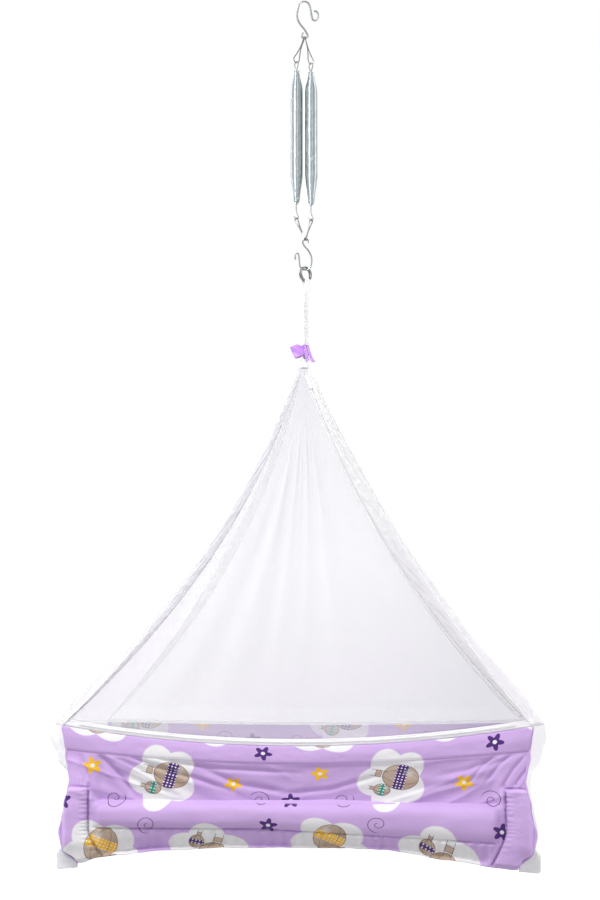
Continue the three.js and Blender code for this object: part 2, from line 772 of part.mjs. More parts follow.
// A satin band on a net's outside, from the ridge to an inner arc beside the zip.
function edgeBand(face, side) {
  const sign = sideSigns[side];
  const out = netLayer + bandThickness / 2;
  const pointAt = (u, v) => {
    const [outerX, outerSlope] = ridgeArcs[side].at(v, fit);
    const [innerX, innerSlope] = zipArc.at(v, -zipChainWidth / 2 - fit);
    const [x, slope] = [mix(outerX, innerX, u), mix(outerSlope, innerSlope, u)];
    const shift = sign > 0 ? 0 : (ridgeSags.left - ridgeSags.right) * Math.sin(Math.PI * v) * u;
    return facePoint(face, sign * (x - shift), slope, out);
  };
  addMesh(`${face}_${side}_band`, cloth(pointAt, 1, 12, bandThickness), 'satin');
}

function ridgeZipChain() {
  const out = netLayer + zipChainThickness / 2;
  const pointAt = (u, v) => {
    const [x, slope] = zipArc.at(v, (u - 0.5) * zipChainWidth);
    return facePoint('front', x, slope, out);
  };
  addMesh('ridge_zip_chain', cloth(pointAt, 1, 16, zipChainThickness), 'zipWhite');
}

// The band along a rim: a tape that joins the net to the bed.
function rimTape(name, face, halfX, width, lift, out, thickness, finish) {
  const pointAt = (u, v) => {
    const x = mix(-1, 1, u) * halfX;
    const slope = rimSlope(face, x) - lift - width * (1 - v);
    return facePoint(face, x, slope, out);
  };
  addMesh(name, cloth(pointAt, 16, 1, thickness), finish);
}

// Slider and pull lie on the zip near the apex, in a frame that follows the chain.
const sliderShare = (sliderLength / 2 + zipEndLift) / (zipArc.radius * Math.abs(zipArc.sweep));
const sliderLift = netLayer + zipChainThickness + fit;

function sliderFrame() {
  const [x, slope] = zipArc.at(sliderShare);
  const [nextX, nextSlope] = zipArc.at(sliderShare + meshStep);
  const origin = facePoint('front', x, slope, sliderLift);
  const along = facePoint('front', nextX, nextSlope, sliderLift).sub(origin).normalize();
  const outward = facePoint('front', x, slope, sliderLift + fit).sub(origin).normalize();
  const aside = along.clone().cross(outward).normalize();
  const frame = new THREE.Group();
  frame.applyMatrix4(new THREE.Matrix4().makeBasis(aside, along, outward));
  frame.position.copy(origin);
  cradle.add(frame);
  return frame;
}

function toManifold(geometry) {
  const bare = geometry.clone();
  bare.deleteAttribute('normal');
  bare.deleteAttribute('uv');
  const merged = mergeVertices(bare);
  return new wasm.Manifold(new wasm.Mesh({
    numProp: 3,
    vertProperties: new Float32Array(merged.attributes.position.array),
    triVerts: new Uint32Array(merged.index.array),
  }));
}

function fromManifold(solid) {
  const mesh = solid.getMesh();
  const geometry = new THREE.BufferGeometry();
  geometry.setAttribute('position', new THREE.Float32BufferAttribute(mesh.vertProperties, 3));
  geometry.setIndex([...mesh.triVerts]);
  geometry.computeVertexNormals();
  return geometry;
}

// The slider: a tapered plate with a bridge that holds the pull's bar.
function zipSlider(frame) {
  const [half, long] = [sliderWidth / 2, sliderLength / 2];
  const plate = new THREE.Shape();
  plate.moveTo(-half, -long);
  plate.lineTo(half, -long);
  plate.lineTo(half * sliderNoseShare, long);
  plate.lineTo(-half * sliderNoseShare, long);
  const base = new THREE.ExtrudeGeometry(plate, { depth: sliderThickness, bevelEnabled: false });
  const bridge = new THREE.Shape();
  const [inner, outer] = [bridgeSpan / 2, bridgeSpan / 2 + bridgeBar];
  bridge.moveTo(-outer, sliderThickness / 2);
  bridge.lineTo(-inner, sliderThickness / 2);
  bridge.lineTo(-inner, sliderThickness + bridgeRoom);
  bridge.lineTo(inner, sliderThickness + bridgeRoom);
  bridge.lineTo(inner, sliderThickness / 2);
  bridge.lineTo(outer, sliderThickness / 2);
  bridge.lineTo(outer, sliderThickness + bridgeRoom + bridgeBar / 2);
  bridge.lineTo(inner, sliderThickness + bridgeRoom + bridgeBar);
  bridge.lineTo(-inner, sliderThickness + bridgeRoom + bridgeBar);
  bridge.lineTo(-outer, sliderThickness + bridgeRoom + bridgeBar / 2);
  const arch = new THREE.ExtrudeGeometry(bridge, { depth: bridgeWidth, bevelEnabled: false });
  arch.applyMatrix4(new THREE.Matrix4().makeBasis(
    new THREE.Vector3(0, 1, 0), new THREE.Vector3(0, 0, 1), new THREE.Vector3(1, 0, 0),
  ));
  arch.translate(-bridgeWidth / 2, 0, 0);
  addMesh('zip_slider', fromManifold(toManifold(base).add(toManifold(arch))), 'steel', frame);
}

// The pull: a flat tab whose bar lies under the bridge, with the bridge's foot in its eye.
function zipPull(frame) {
  const half = pullWidth / 2;
  const top = -pullBar / 2;
  const tab = new THREE.Shape();
  tab.moveTo(-half * pullHeadShare, top);
  tab.lineTo(half * pullHeadShare, top);
  tab.lineTo(half, pullLength * pullStraightShare);
  tab.quadraticCurveTo(half, pullLength, 0, pullLength);
  tab.quadraticCurveTo(-half, pullLength, -half, pullLength * pullStraightShare);
  const eye = new THREE.Path();
  const side = pullEyeWidth / 2;
  eye.moveTo(-side, pullBar / 2);
  eye.lineTo(-side, pullBar / 2 + pullEyeLength);
  eye.lineTo(side, pullBar / 2 + pullEyeLength);
  eye.lineTo(side, pullBar / 2);
  tab.holes.push(eye);
  const geometry = new THREE.ExtrudeGeometry(tab, {
    depth: pullThickness, bevelEnabled: false, curveSegments: 4,
  });
  geometry.translate(0, 0, sliderThickness + fit);
  addMesh('zip_pull', geometry, 'steel', frame);
}

// The apex, where nets and gores are gathered and sewn to the straps.
function apexGather() {
  const rings = [];
  for (const [share, grow] of gatherWaistShares) {
    const z = mix(gatherTopZ, fit - apexDrop, share);
    const ringPoints = [];
    for (let side = 0; side < gatherSideCount; side += 1) {
      const angle = (side / gatherSideCount) * 2 * Math.PI;
      const reach = grow * (side % 2 === 0 ? 1 : gatherPuckerShare);
      ringPoints.push(new THREE.Vector3(
        gatherHalfX * reach * Math.cos(angle), gatherHalfY * reach * Math.sin(angle), z,
      ));
    }
    rings.push(ringPoints);
  }
  addMesh('apex_gather', lofted(rings), 'satin');
}

// Bed

function bottomZ(x) {
  const share = Math.min(1, Math.abs(x) / rimHalfX) ** bottomPower;
  return -mix(bottomDrop, bottomCornerDrop, share);
}

function bedEndX(t) {
  return rimHalfX * readShares(endOutlineShares, t);
}

// A point of a side panel: x across, t from the rim to the bottom edge.
function sidePoint(face, x, t) {
  const rim = facePoint('back', x, rimSlope(face, x), 0);
  const corner = rimHalfY * readShares(sideOutlineShares, t);
  const z = mix(rim.z, bottomZ(x), t);
  const middle = smooth((bolsterHalfLength + bolsterDepth / 2 - Math.abs(x)) / bolsterDepth);
  const fromRoll = (z - bolsterZ(x)) / panelBulgeHeight;
  const bulge = panelBulge * middle * Math.exp(-fromRoll * fromRoll);
  const y = corner + (rim.y - rimHalfY) * (1 - t) + bulge;
  return new THREE.Vector3(x, faceSigns[face] * y, z);
}

function matTopZ(x) {
  return bottomZ(x) + coverThickness / 2 + fit + matThickness;
}

function bolsterZ(x) {
  return matTopZ(x) + fit + bolsterHeight / 2;
}

// A point of an end panel: w from front to back, t from the rim to the bottom edge.
function endPoint(side, w, t) {
  const corner = bedEndX(t);
  const half = rimHalfY * readShares(sideOutlineShares, t) - cornerGap;
  const x = corner + endBow * readShares(endBowShares, t) * (1 - w * w);
  return new THREE.Vector3(sideSigns[side] * x, w * half, -mix(rimDrop, bottomCornerDrop, t));
}

const seamShare = facingWidth / bedCornerDepth;

function sidePanel(face) {
  const gap = fit / bedCornerDepth;
  const spread = (u, t) => mix(-1, 1, u) * (bedEndX(t) - cornerGap);
  const facingAt = (u, v) => {
    const t = mix(gap * 3, seamShare - gap, v);
    return sidePoint(face, spread(u, t), t);
  };
  const panelAt = (u, v) => {
    const t = mix(seamShare + gap, 1, v);
    const point = sidePoint(face, spread(u, t), t);
    const share = Math.sin(Math.PI * v) * Math.sin(Math.PI * u);
    const fold = panelRippleHeight * (1 - Math.exp(-(((v - foldRestShare) / foldSpreadShare) ** 2))) * share;
    const wave = (1 + Math.sin(panelFoldCount * 2 * Math.PI * u + v * 2)) / 2;
    point.y += faceSigns[face] * fold * wave;
    return point;
  };
  addMesh(`${face}_facing`, cloth(facingAt, 16, 1, panelThickness), 'facing');
  addMesh(`${face}_panel`, cloth(panelAt, panelColumnCounts[face], bedRowCount, panelThickness), 'lilac');
}

// How far down an end panel a row of its cloth lies: the first row ends at the facing's seam.
function endRowShare(row) {
  return row < 1 ? mix(meshStep * 2, seamShare, row) : mix(seamShare, 1, (row - 1) / (endRowCount - 1));
}

function endPanel(side) {
  const pointAt = (u, v) => {
    const t = endRowShare(v * endRowCount);
    return endPoint(side, 2 * u - 1, t);
  };
  addMesh(`${side}_end_panel`, cloth(pointAt, 8, endRowCount, endPanelThickness), 'satin');
}

function baseCover() {
  const halfX = bedEndX(1) - seamGap;
  const halfY = rimHalfY * readShares(sideOutlineShares, 1) - panelThickness / 2 - 2 * fit;
  const pointAt = (u, v) => {
    const x = mix(-1, 1, u) * halfX;
    return new THREE.Vector3(x, mix(1, -1, v) * halfY, bottomZ(x));
  };
  addMesh('base_cover', cloth(pointAt, 12, 1, coverThickness), 'lilac');
}

function power(value, exponent) {
  return Math.sign(value) * Math.abs(value) ** exponent;
}

// How full a cushion still is towards its ends: square gives a fuller end, round a softer one.
function fullness(along, square, round) {
  return (1 - (Math.abs(along) * cushionEndShare) ** square) ** round;
}

// Stations from end to end, close together at both ends.
function stationShares(count) {
  return Array.from({ length: count + 1 }, (_, place) => Math.sin((2 * place / count - 1) * Math.PI / 2));
}

// A flat cushion over the base: square in section, with drawn-in ends and a crowned top.
function baseMat() {
  const rings = [];
  for (const along of stationShares(12)) {
    const x = matHalfX * along;
    const close = fullness(along, 8, 0.35);
    const floor = bottomZ(x) + coverThickness / 2 + fit * 2;
    const ringPoints = [];
    for (let side = 0; side < cushionSideCount; side += 1) {
      const angle = (side / cushionSideCount) * 2 * Math.PI;
      const rise = (1 + close * power(Math.sin(angle), 0.6)) / 2;
      const y = matHalfY * close * power(Math.cos(angle), 0.4);
      ringPoints.push(new THREE.Vector3(x, y, floor + matThickness * rise));
    }
    rings.push(ringPoints);
  }
  addMesh('base_mat', lofted(rings), 'lilac');
}

// A roll that rests on the mat and against the side panel, fullest at its middle.
function sideBolster(face) {
  const rings = [];
  for (const along of stationShares(12)) {
    const x = bolsterHalfLength * along;
    const close = fullness(along, 8, 0.4);
    const [halfY, halfZ] = [(bolsterDepth / 2) * close, (bolsterHeight / 2) * close];
    const section = [];
    for (let side = 0; side < bolsterSideCount; side += 1) {
      const angle = (side / bolsterSideCount) * 2 * Math.PI;
      const z = bolsterZ(x) - bolsterHeight / 2 + halfZ * (1 + Math.sin(angle));
      section.push([halfY * Math.cos(angle), z]);
    }
    const room = Math.min(...section.map(([y, z]) => {
      const rim = facePoint('back', x, rimSlope(face, x), 0);
      const t = (z - rim.z) / (bottomZ(x) - rim.z);
      return Math.abs(sidePoint(face, x, t).y) - panelThickness / 2 - paddingGap - y;
    }));
    rings.push(section.map(([y, z]) => new THREE.Vector3(x, faceSigns[face] * (room + y), z)));
  }
  addMesh(`${face}_bolster`, lofted(rings), 'lilac');
}

// A pad that stands on end inside the white end panel.
function endPad(side) {
  const rings = [];
  const middleX = bedEndX(endPadSeatShare) - endPadThickness / 2;
  const foot = bottomZ(middleX) + coverThickness / 2 + fit;
  for (const along of stationShares(12)) {
    const y = endPadHalfLength * along;
    const close = fullness(along, 6, 0.4);
    const half = (endPadThickness / 2) * close;
    const top = mix(foot, -endPadTopDrop, 0.5 + close / 2);
    const low = mix(-endPadTopDrop, foot, 0.5 + close / 2);
    const sectionAt = (edges) => Array.from({ length: edges }, (_, edge) => {
      const angle = (edge / edges) * 2 * Math.PI;
      const rise = (power(Math.sin(angle), 0.9) + 1) / 2;
      return [half * Math.cos(angle), mix(low, top, rise)];
    });
    const room = Math.min(...sectionAt(padTestCount).map(([x, z]) => {
      const t = (z + rimDrop) / (rimDrop - bottomCornerDrop);
      const depth = rimHalfY * readShares(sideOutlineShares, t) - cornerGap;
      return Math.abs(endPoint(side, y / depth, t).x) - endPanelThickness / 2 - endPadGap - x;
    }));
    const section = sectionAt(cushionSideCount);
    rings.push(section.map(([x, z]) => new THREE.Vector3(sideSigns[side] * (room + x), y, z)));
  }
  addMesh(`${side}_end_pad`, lofted(rings), 'lilac');
}

// The white seam corner that points down beside a front corner of the bed.
function cornerPoint(side) {
  const sign = sideSigns[side];
  const half = rimHalfY * readShares(sideOutlineShares, 1) - cornerGap;
  const w = cornerPointInset / half - 1;
  const edge = [cornerPointRows, cornerPointRows / 2, 0].map((up) => {
    const point = endPoint('right', w, endRowShare(endRowCount - up));
    return [point.x + endPanelThickness / 2 + cornerGap, point.z];
  });
  const shape = new THREE.Shape();
  shape.moveTo(sign * edge[0][0], edge[0][1]);
  shape.lineTo(sign * edge[1][0], edge[1][1]);
  shape.lineTo(sign * edge[2][0], edge[2][1]);
  shape.lineTo(sign * (edge[2][0] + cornerPointReach), -bottomCornerDrop - cornerPointDrop);
  shape.lineTo(sign * (edge[0][0] + cornerPointReach / 2), -bottomCornerDrop);
  const geometry = new THREE.ExtrudeGeometry(shape, { depth: endPanelThickness, bevelEnabled: false });
  geometry.rotateX(Math.PI / 2);
  const mesh = addMesh(`${side}_corner_point`, geometry, 'satin');
  mesh.position.y = w * half;
}

topHook();
springSide('left');
springSide('right');
lowerHook();
ring('front_ring', -1);
ring('back_ring', 1);
strap('left_strap', -1);
strap('right_strap', 1);
ribbonBand();
ribbonLoop();
ribbonTail('ribbon_front_tail', -ribbonTailOffset, ribbonFlareShares.front);
ribbonTail('ribbon_side_tail', ribbonTailOffset, ribbonFlareShares.side);
apexGather();
for (const face of ['front', 'back']) {
  tentNet(face);
  edgeBand(face, 'left');
  edgeBand(face, 'right');
  sidePanel(face);
  sideBolster(face);
}
for (const side of ['left', 'right']) {
  endGore(side);
  endPanel(side);
  endPad(side);
  cornerPoint(side);
}
const rimTapeHalfX = rimHalfX - seamGap * 2;
const rimChainHalfX = zipFootX - 2 * zipChainWidth;
rimTape('front_rim_zip_tape', 'front', rimTapeHalfX, zipTapeWidth, 0, 0, zipTapeThickness, 'zipWhite');
rimTape('back_rim_band', 'back', rimTapeHalfX, zipTapeWidth, 0, 0, zipTapeThickness, 'zipWhite');
rimTape('front_rim_zip_chain', 'front', rimChainHalfX, zipChainWidth, (zipTapeWidth - zipChainWidth) / 2,
  zipTapeThickness / 2 + fit + zipChainThickness / 2, zipChainThickness, 'zipWhite');
ridgeZipChain();
const zipFrame = sliderFrame();
zipSlider(zipFrame);
zipPull(zipFrame);
baseCover();
baseMat();

export default cradle;
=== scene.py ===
import math

import bmesh
import bpy
from mathutils import Matrix, Vector, noise
from mathutils.bvhtree import BVHTree


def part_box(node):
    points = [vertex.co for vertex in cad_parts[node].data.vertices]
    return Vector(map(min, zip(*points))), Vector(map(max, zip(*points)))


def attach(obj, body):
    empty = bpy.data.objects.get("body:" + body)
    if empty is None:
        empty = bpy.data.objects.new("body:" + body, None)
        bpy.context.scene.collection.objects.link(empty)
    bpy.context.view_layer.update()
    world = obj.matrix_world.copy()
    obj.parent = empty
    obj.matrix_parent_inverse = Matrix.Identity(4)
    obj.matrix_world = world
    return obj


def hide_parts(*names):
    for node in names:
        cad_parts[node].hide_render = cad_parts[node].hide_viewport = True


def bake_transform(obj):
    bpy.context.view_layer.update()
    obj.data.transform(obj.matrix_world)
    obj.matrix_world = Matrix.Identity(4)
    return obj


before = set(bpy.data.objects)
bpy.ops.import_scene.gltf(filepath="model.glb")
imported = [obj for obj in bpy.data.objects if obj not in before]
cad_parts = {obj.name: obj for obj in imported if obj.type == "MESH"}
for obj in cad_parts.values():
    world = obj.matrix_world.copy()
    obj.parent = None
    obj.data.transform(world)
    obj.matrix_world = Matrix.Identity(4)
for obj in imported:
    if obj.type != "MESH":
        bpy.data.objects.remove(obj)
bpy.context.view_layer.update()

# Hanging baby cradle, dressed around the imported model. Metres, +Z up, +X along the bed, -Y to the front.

# Camera at the photograph's angle
CAMERA_PLACE = (0.2536, -2.9893, -1.3168)
CAMERA_PITCH, CAMERA_YAW = 8.35, 5.0
CAMERA_LENS, SENSOR_WIDTH = 65.21, 36.0

# Studio
WORLD_STRENGTH = 0.29
FLOOR_SIZE, FLOOR_DROP, FLOOR_GLOW = 60.0, 1.95, 0.875

# Tent, as in the part's source
APEX_DROP, RIM_DROP = 0.722, 1.378
APEX_HALF_X, APEX_HALF_Y = 0.010, 0.008
RIM_HALF_X, RIM_HALF_Y = 0.402, 0.190
RIM_DIPS = {"front": 0.035, "back": 0.006}
RIDGE_SAGS = {"left": 0.045, "right": 0.028}
GORE_BOWS = {"left": 0.046, "right": 0.028}
GORE_BOW_SHARES = ((0, 0), (0.4, 0.16), (0.7, 0.52), (0.93, 1.12), (1, 1))
BAND_WIDTH, BAND_THICKNESS = 0.032, 0.001
NET_THICKNESS, NET_PITCH = 0.0004, 0.0011
SEAM_GAP, FIT = 0.0013, 0.0003

# Zip
ZIP_TOP_X, ZIP_TOP_SLOPE = 0.005, 0.014
ZIP_FOOT_INSET, ZIP_FOOT_RISE = 0.022, 0.0168
ZIP_SAG, LEFT_BAND_SHIFT = 0.043, 0.010
ZIP_WIDTH, ZIP_TAPE_WIDTH = 0.004, 0.012
ZIP_TOOTH_PITCH = 0.0016
BACK_HEM_WIDTH = 0.0055

# Bed
BED_DEPTH, BED_CORNER_DEPTH = 0.202, 0.232
BOTTOM_POWER = 2.6
FACING_WIDTH = 0.040
END_BOWS = {"left": 0.058, "right": 0.033}
END_OUTLINE_SHARES = (
    (0, 1), (0.2, 0.985), (0.4, 0.965), (0.6, 0.985), (0.78, 1.005), (0.9, 0.99), (1, 0.93),
)
END_BOW_SHARES = ((0.1, 1), (0.25, 0.85), (0.4, 0.34), (0.58, 0.2), (0.8, 0.2), (1, 0.4))
SIDE_OUTLINE_SHARES = ((0, 1), (0.2, 0.985), (0.6, 1.015), (0.85, 1), (1, 0.95))
HEM_SAG_SHARES = ((0.15, 0), (0.26, 0.78), (0.325, 1), (0.36, 0.9), (0.385, 0.45))
CORNER_TOP_SHARE, CORNER_OUTER_X, CORNER_ROUND = 0.72, 0.4108, 0.0075

# Springs
SPRING_TURNS, SPRING_TURN_STEPS = 116, 16
SPRING_SPACING, SPRING_OFFSET = 0.0281, -0.0008
SPRING_WIRE, SPRING_RADIUS = 0.00225, 0.01135
SPRING_PROFILE_SHARES = ((0, 0.42), (0.16, 1), (0.77, 1), (0.97, 0.52), (1, 0.24))

# Straps and bow
RING_TURN, RING_AXIS_X = math.radians(50), 0.0024
STRAP_WIDTH, STRAP_TAPE, STRAP_BORE = 0.006, 0.0014, 0.0046
STRAP_LOOP_LENGTH, STRAP_PARTING, STRAP_PIVOT_Z = 0.040, 0.0006, -0.553938
RIBBON_BAND_HEIGHT, RIBBON_BAND_DROP = 0.020, 0.677
RIBBON_LOOP_REACH, RIBBON_LOOP_DEPTH, RIBBON_LOOP_TILT = 0.022, 0.008, math.radians(24)
RIBBON_LOOP_WIDTH = 0.024
RIBBON_TAIL_WIDTH, RIBBON_TAIL_OFFSET, RIBBON_TAIL_LENGTH = 0.010, 0.0037, 0.032
RIBBON_TAIL_FLARE, RIBBON_TAIL_TOP_SHARE = 0.005, 0.6
RIBBON_THICKNESS = 0.0005

FACE_SIGNS = {"front": -1, "back": 1}
SIDE_SIGNS = {"left": -1, "right": 1}


# Small helpers

def mix(a, b, share):
    return a + (b - a) * share


def smooth(share):
    held = min(1.0, max(0.0, share))
    return held * held * (3 - 2 * held)


def read_shares(shares, place):
    """Reads a table of (place, value) rows with smooth steps between them."""
    if place <= shares[0][0]:
        return shares[0][1]
    for (start, low), (end, high) in zip(shares, shares[1:]):
        if place <= end:
            return mix(low, high, smooth((place - start) / (end - start)))
    return shares[-1][1]


def bump_noise(x, y, z=0.0):
    """Soft noise from -1 to 1."""
    return noise.noise(Vector((x, y, z)))


def add_object(name, data):
    thing = bpy.data.objects.new(name, data)
    bpy.context.scene.collection.objects.link(thing)
    return thing


def make_mesh(name, verts, faces, uvs=()):
    mesh = bpy.data.meshes.new(name)
    mesh.from_pydata(verts, [], faces)
    if uvs:
        layer = mesh.uv_layers.new(name="cloth")
        for loop, uv in zip(layer.data, uvs):
            loop.uv = uv
    mesh.update()
    return mesh


def add_piece(name, mesh, material, node=None, slot=None, thickness=0):
    """Puts a piece on the cradle in its node's place, as a sheet of that thickness."""
    piece = add_object(name, mesh)
    mesh.materials.append(material)
    mesh.shade_smooth()
    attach(piece, "cradle")
    if node:
        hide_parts(node)
    if thickness:
        solid = piece.modifiers.new("thickness", "SOLIDIFY")
        solid.thickness = thickness
        solid.offset = 0
    return piece


def cloth_piece(name, node, slot, material, thickness, grid, uv, point_at, closed=False):
    """A sheet of grid columns by rows from point_at(u, v). Its UV in metres, for the weave and print,
    comes from the sheet's two lengths or from a function of u and v."""
    columns, rows = grid
    wide = columns if closed else columns + 1
    uv_at = uv if callable(uv) else lambda u, v: (u * uv[0], v * uv[1])
    verts = [point_at(column / columns, row / rows) for row in range(rows + 1) for column in range(wide)]
    faces, uvs = [], []
    for row in range(rows):
        low, high = row * wide, (row + 1) * wide
        for column in range(columns):
            after = (column + 1) % wide
            faces.append((low + column, high + column, high + after, low + after))
            for a, b in ((column, row), (column, row + 1), (column + 1, row + 1), (column + 1, row)):
                uvs.append(uv_at(a / columns, b / rows))
    return add_piece(name, make_mesh(name, verts, faces, uvs), material, node, slot, thickness)


def ring_verts(centre, aside, other, reach, sides):
    angles = [2 * math.pi * side / sides for side in range(sides)]
    return [centre + aside * reach * math.cos(angle) + other * reach * math.sin(angle) for angle in angles]


def tube_faces(first, rings, sides):
    """Quads between rings of verts, closed by a face at each end."""
    faces = []
    last = first + (rings - 1) * sides
    for low in range(first, last, sides):
        for side in range(sides):
            after = (side + 1) % sides
            faces.append((low + side, low + after, low + sides + after, low + sides + side))
    faces.append(tuple(reversed(range(first, first + sides))))
    faces.append(tuple(range(last, last + sides)))
    return faces


def run_marks(points):
    """How far along the line each point lies."""
    marks = [0.0]
    for a, b in zip(points, points[1:]):
        marks.append(marks[-1] + (b - a).length)
    return marks


def tube_mesh(name, points, radius, sides):
    """A round tube along points, with a frame carried along without twist."""
    verts, uvs = [], []
    aside = None
    for place, point in enumerate(points):
        along = (points[min(place + 1, len(points) - 1)] - points[max(place - 1, 0)]).normalized()
        if aside is None:
            aside = along.orthogonal().normalized()
        aside = (aside - along * aside.dot(along)).normalized()
        verts += ring_verts(point, aside, along.cross(aside), radius, sides)
    marks = run_marks(points)
    for low, high in zip(marks, marks[1:]):
        for side in range(sides):
            left, right = radius * side, radius * (side + 1)
            uvs += [(left, low), (right, low), (right, high), (left, high)]
    uvs += [(0, 0)] * 2 * sides
    return make_mesh(name, verts, tube_faces(0, len(points), sides), uvs)


def stitches(name, points, material, length=0.003, gap=0.0014, radius=0.00032):
    """A row of sewing stitches: short rounded threads laid end to end along points."""
    sides = 6
    verts, faces = [], []
    marks = run_marks(points)

    def at(place):
        for index in range(1, len(marks)):
            if place <= marks[index] or index == len(marks) - 1:
                span = max(1e-9, marks[index] - marks[index - 1])
                return points[index - 1].lerp(points[index], (place - marks[index - 1]) / span)

    run = 0.0
    while run + length < marks[-1]:
        start, end = at(run), at(run + length)
        along = (end - start).normalized()
        aside = along.orthogonal().normalized()
        faces += tube_faces(len(verts), 4, sides)
        for share, grow in ((0, 0.35), (0.2, 1), (0.8, 1), (1, 0.35)):
            verts += ring_verts(start.lerp(end, share), aside, along.cross(aside), radius * grow, sides)
        run += length + gap
    add_piece(name, make_mesh(name, verts, faces), material)


def sew(name, steps, point_at, material, **sizes):
    """Stitches along point_at(share)."""
    stitches(name, [point_at(step / steps) for step in range(steps + 1)], material, **sizes)


# The tent's and bed's own shapes, as in the part's source

slope_angle = math.atan2(RIM_HALF_Y - APEX_HALF_Y, RIM_DROP - APEX_DROP)
slope_length = (RIM_DROP - APEX_DROP) / math.cos(slope_angle)


def face_point(face, x, slope, out=0.0):
    away = APEX_HALF_Y + slope * math.sin(slope_angle) + out * math.cos(slope_angle)
    z = -APEX_DROP - slope * math.cos(slope_angle) + out * math.sin(slope_angle)
    return Vector((x, FACE_SIGNS[face] * away, z))


def face_arc(top_x, top_slope, foot_x, foot_slope, sag):
    span_x, span_slope = foot_x - top_x, foot_slope - top_slope
    chord = math.hypot(span_x, span_slope)
    radius = ((chord / 2) ** 2 + sag ** 2) / (2 * sag)
    centre_x = (top_x + foot_x) / 2 + (radius - sag) * span_slope / chord
    centre_slope = (top_slope + foot_slope) / 2 - (radius - sag) * span_x / chord
    start = math.atan2(top_slope - centre_slope, top_x - centre_x)
    end = math.atan2(foot_slope - centre_slope, foot_x - centre_x)
    sweep = math.atan2(math.sin(end - start), math.cos(end - start))

    def at(share, inward=0.0):
        angle = start + sweep * share
        reach = radius + inward
        return centre_x + reach * math.cos(angle), centre_slope + reach * math.sin(angle)

    return at


ridge_arcs = {
    side: face_arc(APEX_HALF_X, 0, RIM_HALF_X, slope_length, sag) for side, sag in RIDGE_SAGS.items()
}
zip_arc = face_arc(
    ZIP_TOP_X, ZIP_TOP_SLOPE, RIM_HALF_X - ZIP_FOOT_INSET, slope_length - ZIP_FOOT_RISE, ZIP_SAG
)


def rim_slope(face, x):
    return slope_length + RIM_DIPS[face] * (1 - (x / RIM_HALF_X) ** 2)


def bottom_z(x):
    share = min(1.0, abs(x) / RIM_HALF_X) ** BOTTOM_POWER
    return -RIM_DROP - mix(BED_DEPTH, BED_CORNER_DEPTH, share)


def hem_drop(x):
    """The bed's lower edge hangs unevenly: lowest under the corner columns."""
    calm = smooth((RIM_HALF_X * 0.95 - abs(x)) / 0.010)
    columns = math.exp(-(((abs(x) - 0.366) / 0.014) ** 2)) if x < 0 else 2.6 * read_shares(HEM_SAG_SHARES, x)
    uneven = 0.0012 + 0.0016 * bump_noise(x * 19, 3.0) + 0.0008 * bump_noise(x * 60, 7.0)
    return calm * (0.0045 * columns + uneven)


def bed_end_x(t):
    return RIM_HALF_X * read_shares(END_OUTLINE_SHARES, t)


def end_point(side, w, t, out=0.0):
    half = RIM_HALF_Y * read_shares(SIDE_OUTLINE_SHARES, t) - 0.0017
    shares = ((0, GORE_BOWS[side] / END_BOWS[side]),) + END_BOW_SHARES
    x = bed_end_x(t) + END_BOWS[side] * read_shares(shares, t) * (1 - w * w) + out
    return Vector((SIDE_SIGNS[side] * x, w * half, -mix(RIM_DROP, RIM_DROP + BED_CORNER_DEPTH, t)))


# Materials

class Nodes:
    """Short calls that add shader nodes to a tree."""

    def __init__(self, tree):
        self.tree = tree

    def add(self, kind, **inputs):
        node = self.tree.nodes.new(kind)
        for key, value in inputs.items():
            self.put(node.inputs[key.replace("_", " ")], value)
        return node

    def put(self, socket, value):
        if isinstance(value, bpy.types.NodeSocket):
            self.tree.links.new(value, socket)
        else:
            socket.default_value = value

    def math(self, operation, *values):
        node = self.tree.nodes.new("ShaderNodeMath")
        node.operation = operation
        for socket, value in zip(node.inputs, values):
            self.put(socket, value)
        return node.outputs[0]

    def vector(self, operation, *values):
        node = self.tree.nodes.new("ShaderNodeVectorMath")
        node.operation = operation
        for socket, value in zip(node.inputs, values):
            self.put(socket, value)
        return node.outputs["Value" if operation == "LENGTH" else "Vector"]

    def inside(self, distance, edge=0.0004):
        """1 where the distance is below zero, with a soft edge."""
        node = self.tree.nodes.new("ShaderNodeMapRange")
        for key, value in (("Value", distance), ("From Min", edge), ("From Max", -edge)):
            self.put(node.inputs[key], value)
        return node.outputs[0]

    def mix(self, factor, a, b):
        node = self.tree.nodes.new("ShaderNodeMix")
        node.data_type = "RGBA"
        for index, value in ((0, factor), (6, a), (7, b)):
            self.put(node.inputs[index], value)
        return node.outputs[2]

    def clamped(self, value):
        node = self.tree.nodes.new("ShaderNodeClamp")
        self.put(node.inputs["Value"], value)
        return node.outputs[0]

    def noise(self, vector, scale, detail=3.0, roughness=0.5):
        node = self.add("ShaderNodeTexNoise", Vector=vector, Scale=scale, Detail=detail, Roughness=roughness)
        return node.outputs[0]

    def wave(self, vector, pitch, direction):
        """Bands of that pitch in metres along one axis."""
        node = self.add("ShaderNodeTexWave", Vector=vector, Scale=0.314159 / pitch)
        node.bands_direction = direction
        return node.outputs["Fac"]

    def uv(self):
        return self.add("ShaderNodeUVMap").outputs[0]

    def place(self):
        return self.add("ShaderNodeTexCoord").outputs["Object"]

    def split(self, vector):
        return self.add("ShaderNodeSeparateXYZ", Vector=vector).outputs

    def join(self, x, y):
        return self.add("ShaderNodeCombineXYZ", X=x, Y=y).outputs[0]

    def weave(self, pitch):
        """Warp and weft threads as crossed waves."""
        uv = self.uv()
        return self.math("MULTIPLY", self.wave(uv, pitch, "X"), self.wave(uv, pitch, "Y"))

    def bump(self, height, distance, strength=1.0, normal=None):
        node = self.add("ShaderNodeBump", Height=height, Distance=distance, Strength=strength)
        if normal:
            self.put(node.inputs["Normal"], normal)
        return node.outputs[0]


